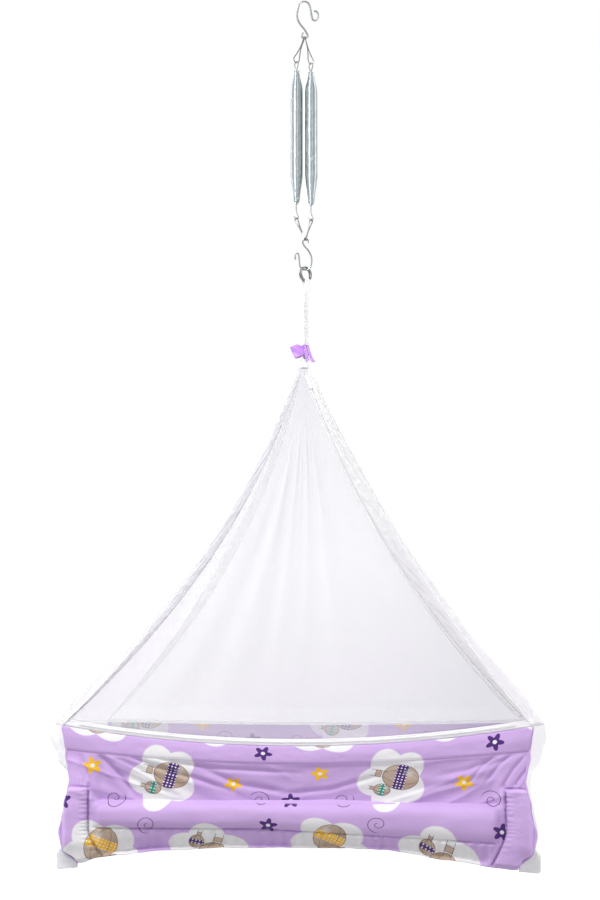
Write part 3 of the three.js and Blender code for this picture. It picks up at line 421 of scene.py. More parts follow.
def new_material(name, **settings):
    """A material with a Principled shader; constants go straight onto its sockets."""
    material = bpy.data.materials.new(name)
    material.use_nodes = True
    nodes = Nodes(material.node_tree)
    shader = material.node_tree.nodes["Principled BSDF"]
    for key, value in settings.items():
        shader.inputs[key.replace("_", " ")].default_value = value
    return material, nodes, shader


def metal_material(name, light, dark, roughness):
    material, nodes, shader = new_material(name, Metallic=1.0)
    place = nodes.place()
    cloud = nodes.noise(place, 60.0, 4.0, 0.6)
    fine = nodes.noise(place, 900.0, 2.0)
    nodes.put(shader.inputs["Base Color"], nodes.mix(cloud, (*dark, 1), (*light, 1)))
    nodes.put(shader.inputs["Roughness"], nodes.math("MULTIPLY_ADD", fine, 0.16, roughness - 0.08))
    nodes.put(shader.inputs["Normal"], nodes.bump(fine, 0.00004, 0.5))
    return material


def cloth_material(
    name, colour, shade, pitch, roughness=0.8, sheen=0.25, crinkle=0.0004, specular=0.3, thin=0.0, alpha=1.0,
):
    """Plain woven cloth: thread bump, crinkles and a slight cloudy change of colour.
    Thin cloth lets light through."""
    material, nodes, shader = new_material(
        name, Roughness=roughness, Sheen_Weight=sheen, Sheen_Roughness=0.4, Specular_IOR_Level=specular,
        Subsurface_Weight=thin, Subsurface_Scale=0.01, Subsurface_Radius=(1, 1, 1), Alpha=alpha,
    )
    cloud = nodes.noise(nodes.place(), 14.0, 4.0, 0.6)
    nodes.put(shader.inputs["Base Color"], nodes.mix(cloud, (*shade, 1), (*colour, 1)))
    creased = nodes.bump(nodes.noise(nodes.place(), 45.0, 3.0, 0.55), crinkle * 10, 0.5)
    nodes.put(shader.inputs["Normal"], nodes.bump(nodes.weave(pitch), 0.0001, 0.4, creased))
    return material


def net_material():
    """Fine open net: thin threads and see-through holes."""
    material, nodes, shader = new_material(
        "net_cloth", Roughness=0.85, Sheen_Weight=0.2, Specular_IOR_Level=0.2,
    )
    place = nodes.place()
    cloud = nodes.noise(place, 9.0, 3.0, 0.6)
    tint = nodes.mix(cloud, (0.90, 0.895, 0.93, 1), (0.95, 0.95, 0.97, 1))
    # Painted shade: the net is greyer towards the lower right, where its inside lies in shade, and greyer
    # towards the gathered top
    parts = nodes.split(place)
    low = nodes.clamped(nodes.math("MULTIPLY_ADD", parts[2], -2.2, -2.15))
    aside = nodes.clamped(nodes.math("MULTIPLY_ADD", parts[0], 1.6, 0.45))
    high = nodes.clamped(nodes.math("MULTIPLY_ADD", parts[2], 2.4, 2.75))
    painted_shade_and_top_grey = nodes.math("MAXIMUM", nodes.math("MULTIPLY", low, aside), nodes.math("MULTIPLY", high, 0.75))
    painted_shade_and_top_grey = nodes.math("MULTIPLY", painted_shade_and_top_grey, 0.8)
    nodes.put(shader.inputs["Base Color"], nodes.mix(painted_shade_and_top_grey, tint, (0.62, 0.62, 0.67, 1)))
    uv = nodes.uv()
    thread = nodes.math("MAXIMUM", nodes.wave(uv, NET_PITCH, "X"), nodes.wave(uv, NET_PITCH, "Y"))
    nodes.put(shader.inputs["Alpha"], nodes.math("MULTIPLY_ADD", thread, 0.11, 0.155))
    nodes.put(shader.inputs["Normal"], nodes.bump(thread, 0.00002, 0.1))
    return material


# The print: a generic nursery pattern of clouds with balloons, stars and curls

LILAC = (0.604, 0.418, 0.746)
LILAC_DEEP = (0.545, 0.366, 0.694)
CLOUD_WHITE = (0.80, 0.79, 0.81, 1)
PURPLE = (0.075, 0.025, 0.180, 1)
YELLOW = (0.870, 0.500, 0.030, 1)
TEAL = (0.012, 0.300, 0.230, 1)
BEIGE = (0.520, 0.410, 0.325, 1)
BEIGE_DEEP = (0.380, 0.270, 0.200, 1)
INK = (0.060, 0.020, 0.070, 1)
OUTLINE = (0.130, 0.075, 0.060, 1)
PRINT_TILE = (0.390, 0.276)


def balloon_group():
    """A cloud patch that holds a dotted balloon with a basket and a small balloon beside it."""
    tree = bpy.data.node_groups.new("balloon_patch", "ShaderNodeTree")
    for name, way, kind in (
        ("Place", "INPUT", "Vector"), ("Ground", "INPUT", "Color"), ("Accent", "INPUT", "Color"),
        ("Other", "INPUT", "Color"), ("Color", "OUTPUT", "Color"),
    ):
        tree.interface.new_socket(name, in_out=way, socket_type=f"NodeSocket{kind}")
    nodes = Nodes(tree)
    given = tree.nodes.new("NodeGroupInput").outputs
    x, y, _ = nodes.split(given["Place"])
    # The cloud has five round lobes
    wide = nodes.math("MULTIPLY", x, 0.82)
    angle = nodes.math("ARCTAN2", y, wide)
    lobes = nodes.math("ABSOLUTE", nodes.math("COSINE", nodes.math("MULTIPLY", angle, 2.5)))
    edge = nodes.math("MULTIPLY_ADD", lobes, 0.015, 0.044)
    reach = nodes.vector("LENGTH", nodes.join(wide, y))
    cloud = nodes.inside(nodes.math("SUBTRACT", reach, edge), 0.0012)
    colour = nodes.mix(cloud, given["Ground"], CLOUD_WHITE)

    def disc(centre_x, centre_y, radius, squash=1.0):
        moved_x = nodes.math("SUBTRACT", x, centre_x)
        moved_y = nodes.math("MULTIPLY", nodes.math("SUBTRACT", y, centre_y), squash)
        reach = nodes.vector("LENGTH", nodes.join(moved_x, moved_y))
        return nodes.math("SUBTRACT", reach, radius), moved_x, moved_y

    many = nodes.vector("FRACTION", nodes.vector("MULTIPLY", given["Place"], (165, 165, 0)))
    centred = nodes.vector("SUBTRACT", many, (0.5, 0.5, 0))
    dotted = nodes.inside(nodes.math("SUBTRACT", nodes.vector("LENGTH", centred), 0.24), 0.06)
    for centre_x, centre_y, radius, squash, band, tone in (
        (-0.008, 0.012, 0.0265, 0.88, 0.0085, "Accent"),
        (0.026, -0.012, 0.0125, 0.92, 0.0045, "Other"),
    ):
        gap, moved_x, moved_y = disc(centre_x, centre_y, radius, squash)
        colour = nodes.mix(nodes.inside(nodes.math("SUBTRACT", gap, 0.0009)), colour, OUTLINE)
        lit = nodes.math("ADD", nodes.math("MULTIPLY", moved_x, 0.6), -radius * 0.3)
        skin = nodes.mix(nodes.inside(lit, radius * 0.5), BEIGE_DEEP, BEIGE)
        hoop = nodes.inside(nodes.math("SUBTRACT", nodes.math("ABSOLUTE", moved_y), band))
        skin = nodes.mix(hoop, skin, nodes.mix(dotted, given[tone], CLOUD_WHITE))
        # Seams of the balloon's skin, and a soft light on one side
        flat_y = nodes.math("POWER", nodes.math("DIVIDE", moved_y, radius), 2.0)
        bulge = nodes.math("SQRT", nodes.math("MAXIMUM", nodes.math("SUBTRACT", 1.0, flat_y), 0.0))
        seam_x = nodes.math("MULTIPLY", bulge, radius * 0.5)
        seam = nodes.math("ABSOLUTE", nodes.math("SUBTRACT", nodes.math("ABSOLUTE", moved_x), seam_x))
        skin = nodes.mix(nodes.inside(nodes.math("SUBTRACT", seam, 0.00035), 0.0003), skin, OUTLINE)
        glow, _, _ = disc(centre_x - radius * 0.45, centre_y + radius * 0.45, radius * 0.16, squash)
        skin = nodes.mix(nodes.math("MULTIPLY", nodes.inside(glow, radius * 0.2), 0.7), skin, CLOUD_WHITE)
        colour = nodes.mix(nodes.inside(gap), colour, skin)
        # Its basket hangs on two lines
        box_x = nodes.math("SUBTRACT", nodes.math("ABSOLUTE", moved_x), radius * 0.26)
        height = nodes.math("ABSOLUTE", nodes.math("SUBTRACT", y, centre_y - radius * 1.45))
        box = nodes.math("MAXIMUM", box_x, nodes.math("SUBTRACT", height, radius * 0.17))
        colour = nodes.mix(nodes.inside(nodes.math("SUBTRACT", box, 0.0008)), colour, OUTLINE)
        colour = nodes.mix(nodes.inside(box), colour, BEIGE)
        rope_x = nodes.math("SUBTRACT", nodes.math("ABSOLUTE", box_x), 0.0004)
        rope = nodes.math("MAXIMUM", rope_x, nodes.math("SUBTRACT", height, radius * 0.5))
        colour = nodes.mix(nodes.inside(rope, 0.0003), colour, OUTLINE)
    tree.links.new(colour, tree.nodes.new("NodeGroupOutput").inputs["Color"])


def turned(nodes, place, centre, degrees):
    """A place seen from a motif's own centre and tilt."""
    moved = nodes.vector("SUBTRACT", place, (*centre, 0))
    return nodes.add("ShaderNodeVectorRotate", Vector=moved, Angle=math.radians(degrees)).outputs[0]


def round_place(nodes, place, centre, degrees):
    """A place's angle and reach in a motif's own frame."""
    x, y, _ = nodes.split(turned(nodes, place, centre, degrees))
    return nodes.math("ARCTAN2", y, x), nodes.vector("LENGTH", nodes.join(x, y))


def add_star(nodes, colour, place, centre, degrees, tone, size=0.0165):
    angle, reach = round_place(nodes, place, centre, degrees)
    points = nodes.math("COSINE", nodes.math("MULTIPLY", angle, 5.0))
    edge = nodes.math("MULTIPLY_ADD", points, size * 0.24, size * 0.74)
    colour = nodes.mix(nodes.inside(nodes.math("SUBTRACT", reach, edge)), colour, tone)
    return nodes.mix(nodes.inside(nodes.math("SUBTRACT", reach, size * 0.22)), colour, CLOUD_WHITE)


def add_curl(nodes, colour, place, centre, degrees, size=0.019):
    """A thin drawn curl: an open spiral that widens as it turns."""
    angle, reach = round_place(nodes, place, centre, degrees)
    pitch = size * 0.62
    wound = nodes.math("SUBTRACT", reach, nodes.math("MULTIPLY", angle, pitch / 6.2832))
    turn = nodes.math("FRACT", nodes.math("DIVIDE", wound, pitch))
    line = nodes.math("MULTIPLY", nodes.math("ABSOLUTE", nodes.math("SUBTRACT", turn, 0.5)), pitch)
    kept = nodes.math("MAXIMUM", nodes.math("SUBTRACT", line, 0.0006), nodes.math("SUBTRACT", reach, size))
    return nodes.mix(nodes.inside(kept, 0.0002), colour, INK)


BALLOON_PATCHES = (
    # centre, tilt, accent, other
    ((-0.118, 0.052), 200, TEAL, PURPLE), ((0.090, 0.066), 28, YELLOW, PURPLE),
    ((0.000, -0.068), 105, PURPLE, TEAL),
)
STARS = (
    ((0.172, -0.006), 10, PURPLE), ((-0.122, -0.052), 40, YELLOW), ((-0.014, 0.108), 65, PURPLE),
    ((0.120, -0.078), 20, YELLOW), ((-0.172, -0.114), 50, PURPLE),
)
CURLS = (((-0.084, -0.112), 20), ((0.170, 0.112), 140), ((0.166, -0.112), 250), ((-0.014, 0.030), 80))


def print_material():
    material, nodes, shader = new_material(
        "printed_cotton", Roughness=0.82, Sheen_Weight=0.25, Sheen_Roughness=0.4, Specular_IOR_Level=0.25,
    )
    width, height = PRINT_TILE
    x, y, _ = nodes.split(nodes.uv())
    rows = nodes.math("DIVIDE", y, height)
    shift = nodes.math("MULTIPLY", nodes.math("FLOOR", rows), 0.5)
    shifted = nodes.math("ADD", nodes.math("DIVIDE", x, width), shift)
    across = nodes.math("MULTIPLY", nodes.math("SUBTRACT", nodes.math("FRACT", shifted), 0.5), width)
    down = nodes.math("MULTIPLY", nodes.math("SUBTRACT", nodes.math("FRACT", rows), 0.5), height)
    place = nodes.join(across, down)
    colour = nodes.mix(nodes.noise(nodes.place(), 12.0, 4.0, 0.6), (*LILAC_DEEP, 1), (*LILAC, 1))
    for centre, degrees, accent, other in BALLOON_PATCHES:
        patch = nodes.add("ShaderNodeGroup")
        patch.node_tree = bpy.data.node_groups["balloon_patch"]
        for name, value in (
            ("Place", turned(nodes, place, centre, degrees)), ("Ground", colour),
            ("Accent", accent), ("Other", other),
        ):
            nodes.put(patch.inputs[name], value)
        colour = patch.outputs["Color"]
    for star in STARS:
        colour = add_star(nodes, colour, place, *star)
    for curl in CURLS:
        colour = add_curl(nodes, colour, place, *curl)
    nodes.put(shader.inputs["Base Color"], colour)
    creased = nodes.bump(nodes.noise(nodes.place(), 38.0, 4.0, 0.55), 0.0035, 0.5)
    nodes.put(shader.inputs["Normal"], nodes.bump(nodes.weave(0.0005), 0.0001, 0.4, creased))
    return material


# Camera, lamps, floor

def make_camera():
    data = bpy.data.cameras.new("camera")
    data.sensor_width = SENSOR_WIDTH
    data.lens = CAMERA_LENS
    data.clip_end = 60
    camera = add_object("camera", data)
    camera.location = CAMERA_PLACE
    camera.rotation_euler = (math.radians(90 + CAMERA_PITCH), 0, math.radians(CAMERA_YAW))
    bpy.context.scene.camera = camera


def make_lamp(name, place, aim, size, power, height=None):
    data = bpy.data.lights.new(name, "AREA")
    data.shape = "RECTANGLE" if height else "DISK"
    data.size = size
    if height:
        data.size_y = height
    data.energy = power
    lamp = add_object(name, data)
    lamp.location = place
    lamp.rotation_euler = (Vector(aim) - Vector(place)).to_track_quat("-Z", "Y").to_euler()


def seen_directly(nodes):
    """1 for camera, glossy and transmission rays, which show the plain background."""
    path = nodes.tree.nodes.new("ShaderNodeLightPath").outputs
    direct = nodes.math("MAXIMUM", path["Is Camera Ray"], path["Is Glossy Ray"])
    return nodes.math("MAXIMUM", direct, path["Is Transmission Ray"])


def make_world():
    world = bpy.data.worlds.new("studio")
    bpy.context.scene.world = world
    world.use_nodes = True
    tree = world.node_tree
    nodes = Nodes(tree)
    soft = tree.nodes["Background"]
    soft.inputs["Color"].default_value = (1, 1, 1, 1)
    soft.inputs["Strength"].default_value = WORLD_STRENGTH
    plain = nodes.add("ShaderNodeBackground", Color=(1, 1, 1, 1), Strength=1.0)
    both = nodes.add("ShaderNodeMixShader", Fac=seen_directly(nodes))
    tree.links.new(soft.outputs[0], both.inputs[1])
    tree.links.new(plain.outputs[0], both.inputs[2])
    tree.links.new(both.outputs[0], tree.nodes["World Output"].inputs[0])


def make_floor():
    corners = [(x * FLOOR_SIZE, y * FLOOR_SIZE, -FLOOR_DROP) for x, y in ((-1, -1), (1, -1), (1, 1), (-1, 1))]
    mesh = make_mesh("floor", corners, [(0, 1, 2, 3)])
    material, nodes, shader = new_material("floor_paint", Roughness=0.9, Specular_IOR_Level=0.1)
    shader.inputs["Base Color"].default_value = (0.45, 0.45, 0.45, 1)
    shader.inputs["Emission Color"].default_value = (1, 1, 1, 1)
    nodes.put(shader.inputs["Emission Strength"], nodes.math("MULTIPLY", seen_directly(nodes), FLOOR_GLOW))
    mesh.materials.append(material)
    add_object("floor", mesh)


def make_studio():
    make_camera()
    make_world()
    make_floor()
    make_lamp("key_lamp", (-0.9, -1.8, 1.0), (0, 0, -1.35), 0.9, 76)
    make_lamp("fill_lamp", (1.25, -2.75, -0.3), (0, 0, -0.6), 0.5, 21, 1.8)
    make_lamp("left_lamp", (-2.6, 0.1, -0.3), (0, 0, -1.2), 1.6, 41)
    make_lamp("right_lamp", (2.6, 0.1, -0.3), (0, 0, -1.2), 1.6, 45)
    make_lamp("back_lamp", (-0.6, 2.4, 0.3), (0, 0, -1.0), 1.8, 39)
    bpy.context.scene.view_settings.view_transform = "Standard"


make_studio()


# Finishes

zinc = metal_material("zinc_wire", (0.40, 0.42, 0.43), (0.20, 0.21, 0.22), 0.28)
link_zinc = metal_material("link_zinc", (0.26, 0.27, 0.28), (0.12, 0.13, 0.14), 0.32)
spring_zinc = metal_material("spring_zinc", (0.47, 0.51, 0.52), (0.32, 0.36, 0.37), 0.20)
steel = metal_material("ring_steel", (0.34, 0.35, 0.36), (0.15, 0.15, 0.16), 0.26)
slider_metal = metal_material("slider_metal", (0.62, 0.62, 0.64), (0.44, 0.44, 0.46), 0.40)

webbing = cloth_material("white_webbing", (0.93, 0.93, 0.93), (0.89, 0.89, 0.90), 0.0008, thin=0.5)
ribbon_satin = cloth_material(
    "ribbon_satin", (0.52, 0.26, 0.76), (0.42, 0.19, 0.66), 0.0004, roughness=0.38, sheen=0.4, specular=0.5,
)
satin = cloth_material(
    "white_satin", (0.91, 0.91, 0.92), (0.85, 0.85, 0.88), 0.0004,
    roughness=0.42, sheen=0.35, crinkle=0.0008, specular=0.4, thin=0.6,
)
hem_satin = cloth_material(
    "hem_satin", (0.82, 0.81, 0.86), (0.74, 0.73, 0.79), 0.0004,
    roughness=0.5, sheen=0.3, crinkle=0.0008, thin=0.6,
)
sheer_satin = cloth_material(
    "sheer_satin", (0.95, 0.95, 0.96), (0.90, 0.90, 0.93), 0.0004,
    roughness=0.5, sheen=0.35, crinkle=0.0008, thin=0.8, alpha=0.56,
)
# Whiter copy of the white satin for the right front band: painted light, for the extra light that band
# catches
band_satin = cloth_material(
    "band_satin", (0.99, 0.99, 0.99), (0.96, 0.96, 0.97), 0.0004,
    roughness=0.42, sheen=0.6, specular=0.5, thin=0.8,
)
net_hem = cloth_material(
    "net_hem", (0.95, 0.95, 0.97), (0.90, 0.90, 0.93), 0.0004, roughness=0.6, thin=0.8, alpha=0.16,
)
gathered_net = cloth_material("gathered_net", (0.84, 0.84, 0.87), (0.76, 0.76, 0.80), 0.0009)
zip_cloth = cloth_material("zip_tape", (0.92, 0.92, 0.93), (0.88, 0.88, 0.90), 0.0006, thin=0.4)
zip_nylon = cloth_material(
    "zip_teeth", (0.96, 0.96, 0.97), (0.91, 0.91, 0.93), 0.0006, roughness=0.5, sheen=0.0, thin=0.6,
)
white_thread = cloth_material("white_thread", (0.95, 0.95, 0.96), (0.91, 0.91, 0.93), 0.0002, thin=0.6)
# Dark thread for the corner columns' seams: painted shade of the seam's gathers
gather_shade_thread = cloth_material("gather_shade_thread", (0.16, 0.09, 0.22), (0.10, 0.05, 0.15), 0.0002)
lilac_thread = cloth_material("lilac_thread", (0.60, 0.42, 0.76), (0.50, 0.32, 0.66), 0.0002)
lilac_cotton = cloth_material("lilac_cotton", LILAC, LILAC_DEEP, 0.0005, crinkle=0.0006)
balloon_group()
printed = print_material()
net_cloth = net_material()

for material, names in (
    (zinc, ("top_hook", "lower_hook")), (steel, ("front_ring", "back_ring")),
    (slider_metal, ("zip_slider", "zip_pull")),
    (link_zinc, [f"{side}_{level}_link" for side in SIDE_SIGNS for level in ("upper", "lower")]),
    (zinc, [f"{side}_spring_{end}_eye" for side in SIDE_SIGNS for end in ("top", "bottom")]),
):
    for name in names:
        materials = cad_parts[name].data.materials
        materials.clear()
        materials.append(material)


# Springs: close coils of fine wire, drawn in at both ends

def make_spring(side):
    node = f"{side}_spring_coil"
    low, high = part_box(node)
    x = SPRING_OFFSET + SIDE_SIGNS[side] * SPRING_SPACING / 2
    steps = SPRING_TURNS * SPRING_TURN_STEPS
    points = []
    for step in range(steps + 1):
        share = step / steps
        angle = 2 * math.pi * SPRING_TURNS * share
        radius = SPRING_RADIUS * read_shares(SPRING_PROFILE_SHARES, share)
        z = mix(high.z - SPRING_WIRE / 2, low.z + SPRING_WIRE / 2, share)
        points.append(Vector((x + radius * math.cos(angle), radius * math.sin(angle), z)))
    mesh = tube_mesh(f"{side}_spring", points, SPRING_WIRE / 2, 7)
    mesh.materials.append(spring_zinc)
    mesh.shade_smooth()
    piece = add_object(f"{side}_spring", mesh)
    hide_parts(node)
    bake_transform(piece)


for side in SIDE_SIGNS:
    make_spring(side)


# Straps and bow, in the rings' turned frame

def ring_frame(x, y, z):
    cosine, sine = math.cos(RING_TURN), math.sin(RING_TURN)
    return Vector((RING_AXIS_X + x * cosine - y * sine, x * sine + y * cosine, z))


def make_strap(side):
    sign = SIDE_SIGNS[side]
    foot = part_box(f"{side}_strap")[0].z
    reach = STRAP_BORE + STRAP_TAPE / 2
    loop = STRAP_PIVOT_Z - STRAP_LOOP_LENGTH
    side_run = STRAP_PIVOT_Z - foot
    total = 2 * side_run + math.pi * reach

    def half_at(z):
        return mix(STRAP_TAPE / 2 + 0.0001, reach, smooth((z - loop) / (STRAP_PIVOT_Z - loop)))

    def point_at(u, v):
        across = sign * STRAP_PARTING / 2 + (u - 0.5 + sign * 0.5) * STRAP_WIDTH
        run = v * total
        if run < side_run:
            y, z = -half_at(foot + run), foot + run
        elif run > total - side_run:
            z = foot + total - run
            y = half_at(z)
        else:
            angle = math.pi * (1 - (run - side_run) / (math.pi * reach))
            y, z = reach * math.cos(angle), STRAP_PIVOT_Z + reach * math.sin(angle)
        wave = 0.0002 * bump_noise(across * 300, z * 60, y * 300)
        return ring_frame(across, y + wave, z)

    piece = cloth_piece(
        f"{side}_webbing", f"{side}_strap", "webbing", webbing, STRAP_TAPE * 0.85, (6, 150),
        (STRAP_WIDTH, total), point_at,
    )


for side in SIDE_SIGNS:
    make_strap(side)


def make_ribbon_band():
    half_x = STRAP_PARTING / 2 + STRAP_WIDTH + 0.001
    half_y = STRAP_TAPE + 0.001
    middle_z = -RIBBON_BAND_DROP - RIBBON_BAND_HEIGHT / 2

    def point_at(u, v):
        angle = 2 * math.pi * u
        cosine, sine = math.cos(angle), math.sin(angle)
        x = half_x * math.copysign(abs(cosine) ** 0.6, cosine)
        y = half_y * math.copysign(abs(sine) ** 0.6, sine)
        pleat = 0.0005 * math.sin(angle * 9 + v * 4) * math.sin(math.pi * v)
        z = middle_z + (0.5 - v) * RIBBON_BAND_HEIGHT * 0.92
        return ring_frame(x + pleat * cosine, y + pleat * sine, z)

    length = 4 * (half_x + half_y)
    piece = cloth_piece(
        "ribbon_knot", "ribbon_band", "ribbon", ribbon_satin, RIBBON_THICKNESS, (72, 12),
        (length, RIBBON_BAND_HEIGHT), point_at, closed=True,
    )


def make_ribbon_loop():
    """The bow's loop: a ribbon folded back on itself, tilted, with its open end to the lower left."""
    inner = Vector((RING_AXIS_X - 0.004, -0.004, -RIBBON_BAND_DROP - RIBBON_BAND_HEIGHT * 0.42))
    along = Vector((-math.cos(RIBBON_LOOP_TILT), -0.25, -math.sin(RIBBON_LOOP_TILT))).normalized()
    broad = Vector((-math.sin(RIBBON_LOOP_TILT), 0.0, math.cos(RIBBON_LOOP_TILT)))
    deep = along.cross(broad)

    def point_at(u, v):
        angle = 2 * math.pi * u
        run = (1 - math.cos(angle)) / 2
        fullness = math.sin(math.pi * min(1.0, run * 0.96 + 0.04)) ** 0.7
        opening = mix(0.25, 1.0, v)
        side = math.copysign(RIBBON_LOOP_DEPTH / 2 * fullness * opening + 0.0005, math.sin(angle) or 1)
        pinch = mix(0.55, 1.0, smooth(run / 0.35))
        droop = 0.0010 * math.sin(6 * run + 5 * v)
        across = (0.5 - v) * RIBBON_LOOP_WIDTH * pinch
        return inner + along * RIBBON_LOOP_REACH * run + broad * across + deep * (side + droop)

    piece = cloth_piece(
        "ribbon_loop_cloth", "ribbon_loop", "ribbon", ribbon_satin, RIBBON_THICKNESS, (72, 16),
        (2.4 * RIBBON_LOOP_REACH, RIBBON_LOOP_WIDTH), point_at, closed=True,
    )


def make_ribbon_tail(name, node, along, flare_share):
    front_y = -(STRAP_TAPE + 0.0014 + FIT)

    def point_at(u, v):
        flare = RIBBON_TAIL_FLARE * v * v
        width = RIBBON_TAIL_WIDTH * mix(RIBBON_TAIL_TOP_SHARE, 1, v)
        x = along + (u - 0.5) * width + flare_share * flare * 2
        slant = 0.0026 * v * (u - 0.5) * (1 if flare_share < 0.5 else -1)
        z = -RIBBON_BAND_DROP - RIBBON_TAIL_LENGTH * v + flare_share * (u - 0.5) * flare + slant
        curl = 0.0012 * math.sin(math.pi * u) * v + 0.0005 * math.sin(9 * v + 4 * u)
        return ring_frame(x, front_y - flare - curl, z)

    piece = cloth_piece(
        name, node, "ribbon", ribbon_satin, RIBBON_THICKNESS, (14, 40),
        (RIBBON_TAIL_WIDTH, RIBBON_TAIL_LENGTH), point_at,
    )


make_ribbon_band()
make_ribbon_loop()
make_ribbon_tail("front_tail_cloth", "ribbon_front_tail", -RIBBON_TAIL_OFFSET, 0.2)
make_ribbon_tail("side_tail_cloth", "ribbon_side_tail", RIBBON_TAIL_OFFSET, 1.0)


def make_gather():
    """The tent's top, drawn into pleats and sewn round the straps."""
    low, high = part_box("apex_gather")

    def point_at(u, v):
        angle = 2 * math.pi * u
        grow = read_shares(((0, 0.35), (0.04, 0.84), (0.35, 0.80), (0.7, 0.92), (1, 1.0)), v)
        pleat = 1 - 0.10 * (0.5 + 0.5 * math.cos(angle * 17 + 2 * math.sin(angle * 3)))
        z = mix(high.z - 0.0004, low.z, v)
        reach = grow * pleat
        return Vector((0.0085 * reach * math.cos(angle), 0.0075 * reach * math.sin(angle), z))

    piece = cloth_piece(
        "gathered_top", "apex_gather", "satin", gathered_net, 0.0006, (136, 24), (0.08, 0.02), point_at,
        closed=True,
    )
    clear = Vector((1.05, 1.05, 1))
    for row, share in enumerate((0.22, 0.42)):
        sew(
            f"gather_seam_{row + 1}", 120, lambda s: point_at(s, share) * clear, white_thread,
            length=0.0022, gap=0.0009,
        )


make_gather()


# The tent's nets

NET_PLEATS = (
    # place across, depth, width, start, end
    (0.320, 0.0040, 0.022, 0.05, 0.72), (0.420, 0.0044, 0.020, 0.02, 0.92),
    (0.520, 0.0050, 0.022, 0.00, 1.00), (0.615, 0.0040, 0.020, 0.04, 0.84),
    (0.715, 0.0032, 0.020, 0.08, 0.66), (0.225, 0.0026, 0.018, 0.12, 0.60),
    (0.375, 0.0018, 0.010, 0.00, 0.45), (0.470, 0.0020, 0.009, 0.00, 0.50),
    (0.570, 0.0018, 0.009, 0.00, 0.42), (0.825, 0.0018, 0.014, 0.20, 0.70),
)


def net_out(u, v):
    """How far the net's pleats stand out, from the gathered top down."""
    out = 0.0
    for place, depth, width, start, end in NET_PLEATS:
        drift = place + 0.012 * bump_noise(place * 40, v * 2.2)
        fade = smooth((v - start) / 0.12) * smooth((end - v) / 0.3)
        out += depth * fade * math.exp(-((u - drift) / (width * (0.7 + 0.8 * v))) ** 2)
    return out + 0.0016 * bump_noise(u * 5, v * 3) * smooth(v * 4)


def make_net(face):
    def point_at(u, v):
        left_x, left_slope = ridge_arcs["left"](v)
        right_x, right_slope = ridge_arcs["right"](v)
        x = mix(-left_x + SEAM_GAP, right_x - SEAM_GAP, u)
        edge = min(x + left_x, right_x - x)
        hemmed = rim_slope(face, x) - (ZIP_TAPE_WIDTH if face == "front" else BACK_HEM_WIDTH) - FIT
        spread = mix(left_slope, right_slope, u) / slope_length
        clear = smooth((edge - BAND_WIDTH * 1.3) / BAND_WIDTH) * smooth((1 - v) / 0.2)
        ripple = 0.003 * clear * math.sin(7 * 2 * math.pi * u) * v
        share = u if face == "front" else 1 - u
        return face_point(face, x, spread * hemmed, ripple + clear * net_out(share, v))

    piece = cloth_piece(
        f"{face}_netting", f"{face}_net", "net", net_cloth, NET_THICKNESS, (150, 110),
        lambda u, v: (0.78 * (u - 0.5) * v, 0.69 * v), point_at,
    )


for face in FACE_SIGNS:
    make_net(face)


def make_gore(side):
    """The white satin end of the tent, bowed out towards the rim."""

    def point_at(u, v):
        x, slope = ridge_arcs[side](v)
        edge = face_point("back", x, slope)
        w = 2 * u - 1
        crown = 1 - w * w
        fold = 0.003 * math.sin(9 * w + 2.2 * math.sin(3 * v)) * crown * smooth(v * 3) * smooth((1 - v) * 6)
        bowed = x + GORE_BOWS[side] * read_shares(GORE_BOW_SHARES, v) * crown + fold
        return Vector((SIDE_SIGNS[side] * bowed, w * (edge.y - SEAM_GAP), edge.z + (0.0002 if v >= 1 else 0)))

    piece = cloth_piece(
        f"{side}_gore_cloth", f"{side}_end_gore", "satin", sheer_satin, 0.0009, (60, 120),
        lambda u, v: (0.38 * (u - 0.5) * v, 0.76 * v), point_at,
    )


for side in SIDE_SIGNS:
    make_gore(side)


def band_point(face, side, u, v, lift=0.0):
    """On the satin band: u from the ridge to its inner edge, v from the apex to the rim."""
    sign = SIDE_SIGNS[side]
    out = 0.0007 + BAND_THICKNESS / 2
    outer_x, outer_slope = ridge_arcs[side](v, FIT)
    inner_x, inner_slope = zip_arc(v, -ZIP_WIDTH / 2 - FIT)
    x, slope = mix(outer_x, inner_x, u), mix(outer_slope, inner_slope, u)
    shift = 0 if sign > 0 else LEFT_BAND_SHIFT * math.sin(math.pi * v) * u
    return face_point(face, sign * (x - shift), slope, out + lift)


# The right band's whiter satin is painted light
BAND_CLOTHS = {"left": hem_satin, "right": band_satin}
BAND_BULGES = {"left": 0.0015, "right": 0.0022}
BAND_SEEDS = {"left": 3.0, "right": 7.0}
BAND_WRAP = 0.13


def make_band(face, side):
    cloth = BAND_CLOTHS[side] if face == "front" else net_hem

    def point_at(u, v):
        # The outer edge wraps round the ridge
        u = mix(-BAND_WRAP, 1, u)
        wrapped = 0.0030 * smooth(-u / BAND_WRAP) if u < 0 else 0
        middle = math.sin(math.pi * min(1.0, u + 0.1 * (1 - u)))
        puffed = BAND_BULGES[side] + 0.0024 * bump_noise(v * 34 + 5 * u, u * 1.6, BAND_SEEDS[side])
        puffed += 0.0010 * bump_noise(v * 110, u * 4, 1.0)
        return band_point(face, side, u, v, -0.0006 - wrapped + puffed * middle * smooth(v * 8))

    name = f"{face}_{side}_satin"
    piece = cloth_piece(
        name, f"{face}_{side}_band", "satin", cloth, 0.0006, (12, 260), (BAND_WIDTH, 0.75), point_at,
    )
    for edge, share in (("outer", 0.10), ("inner", 0.90)):
        sew(
            f"{name}_{edge}_stitches", 160, lambda s: band_point(face, side, share, 0.03 + 0.96 * s, 0.0005),
            white_thread,
        )


for face in FACE_SIGNS:
    for side in SIDE_SIGNS:
        make_band(face, side)


# Zip: a woven tape and a chain of small teeth

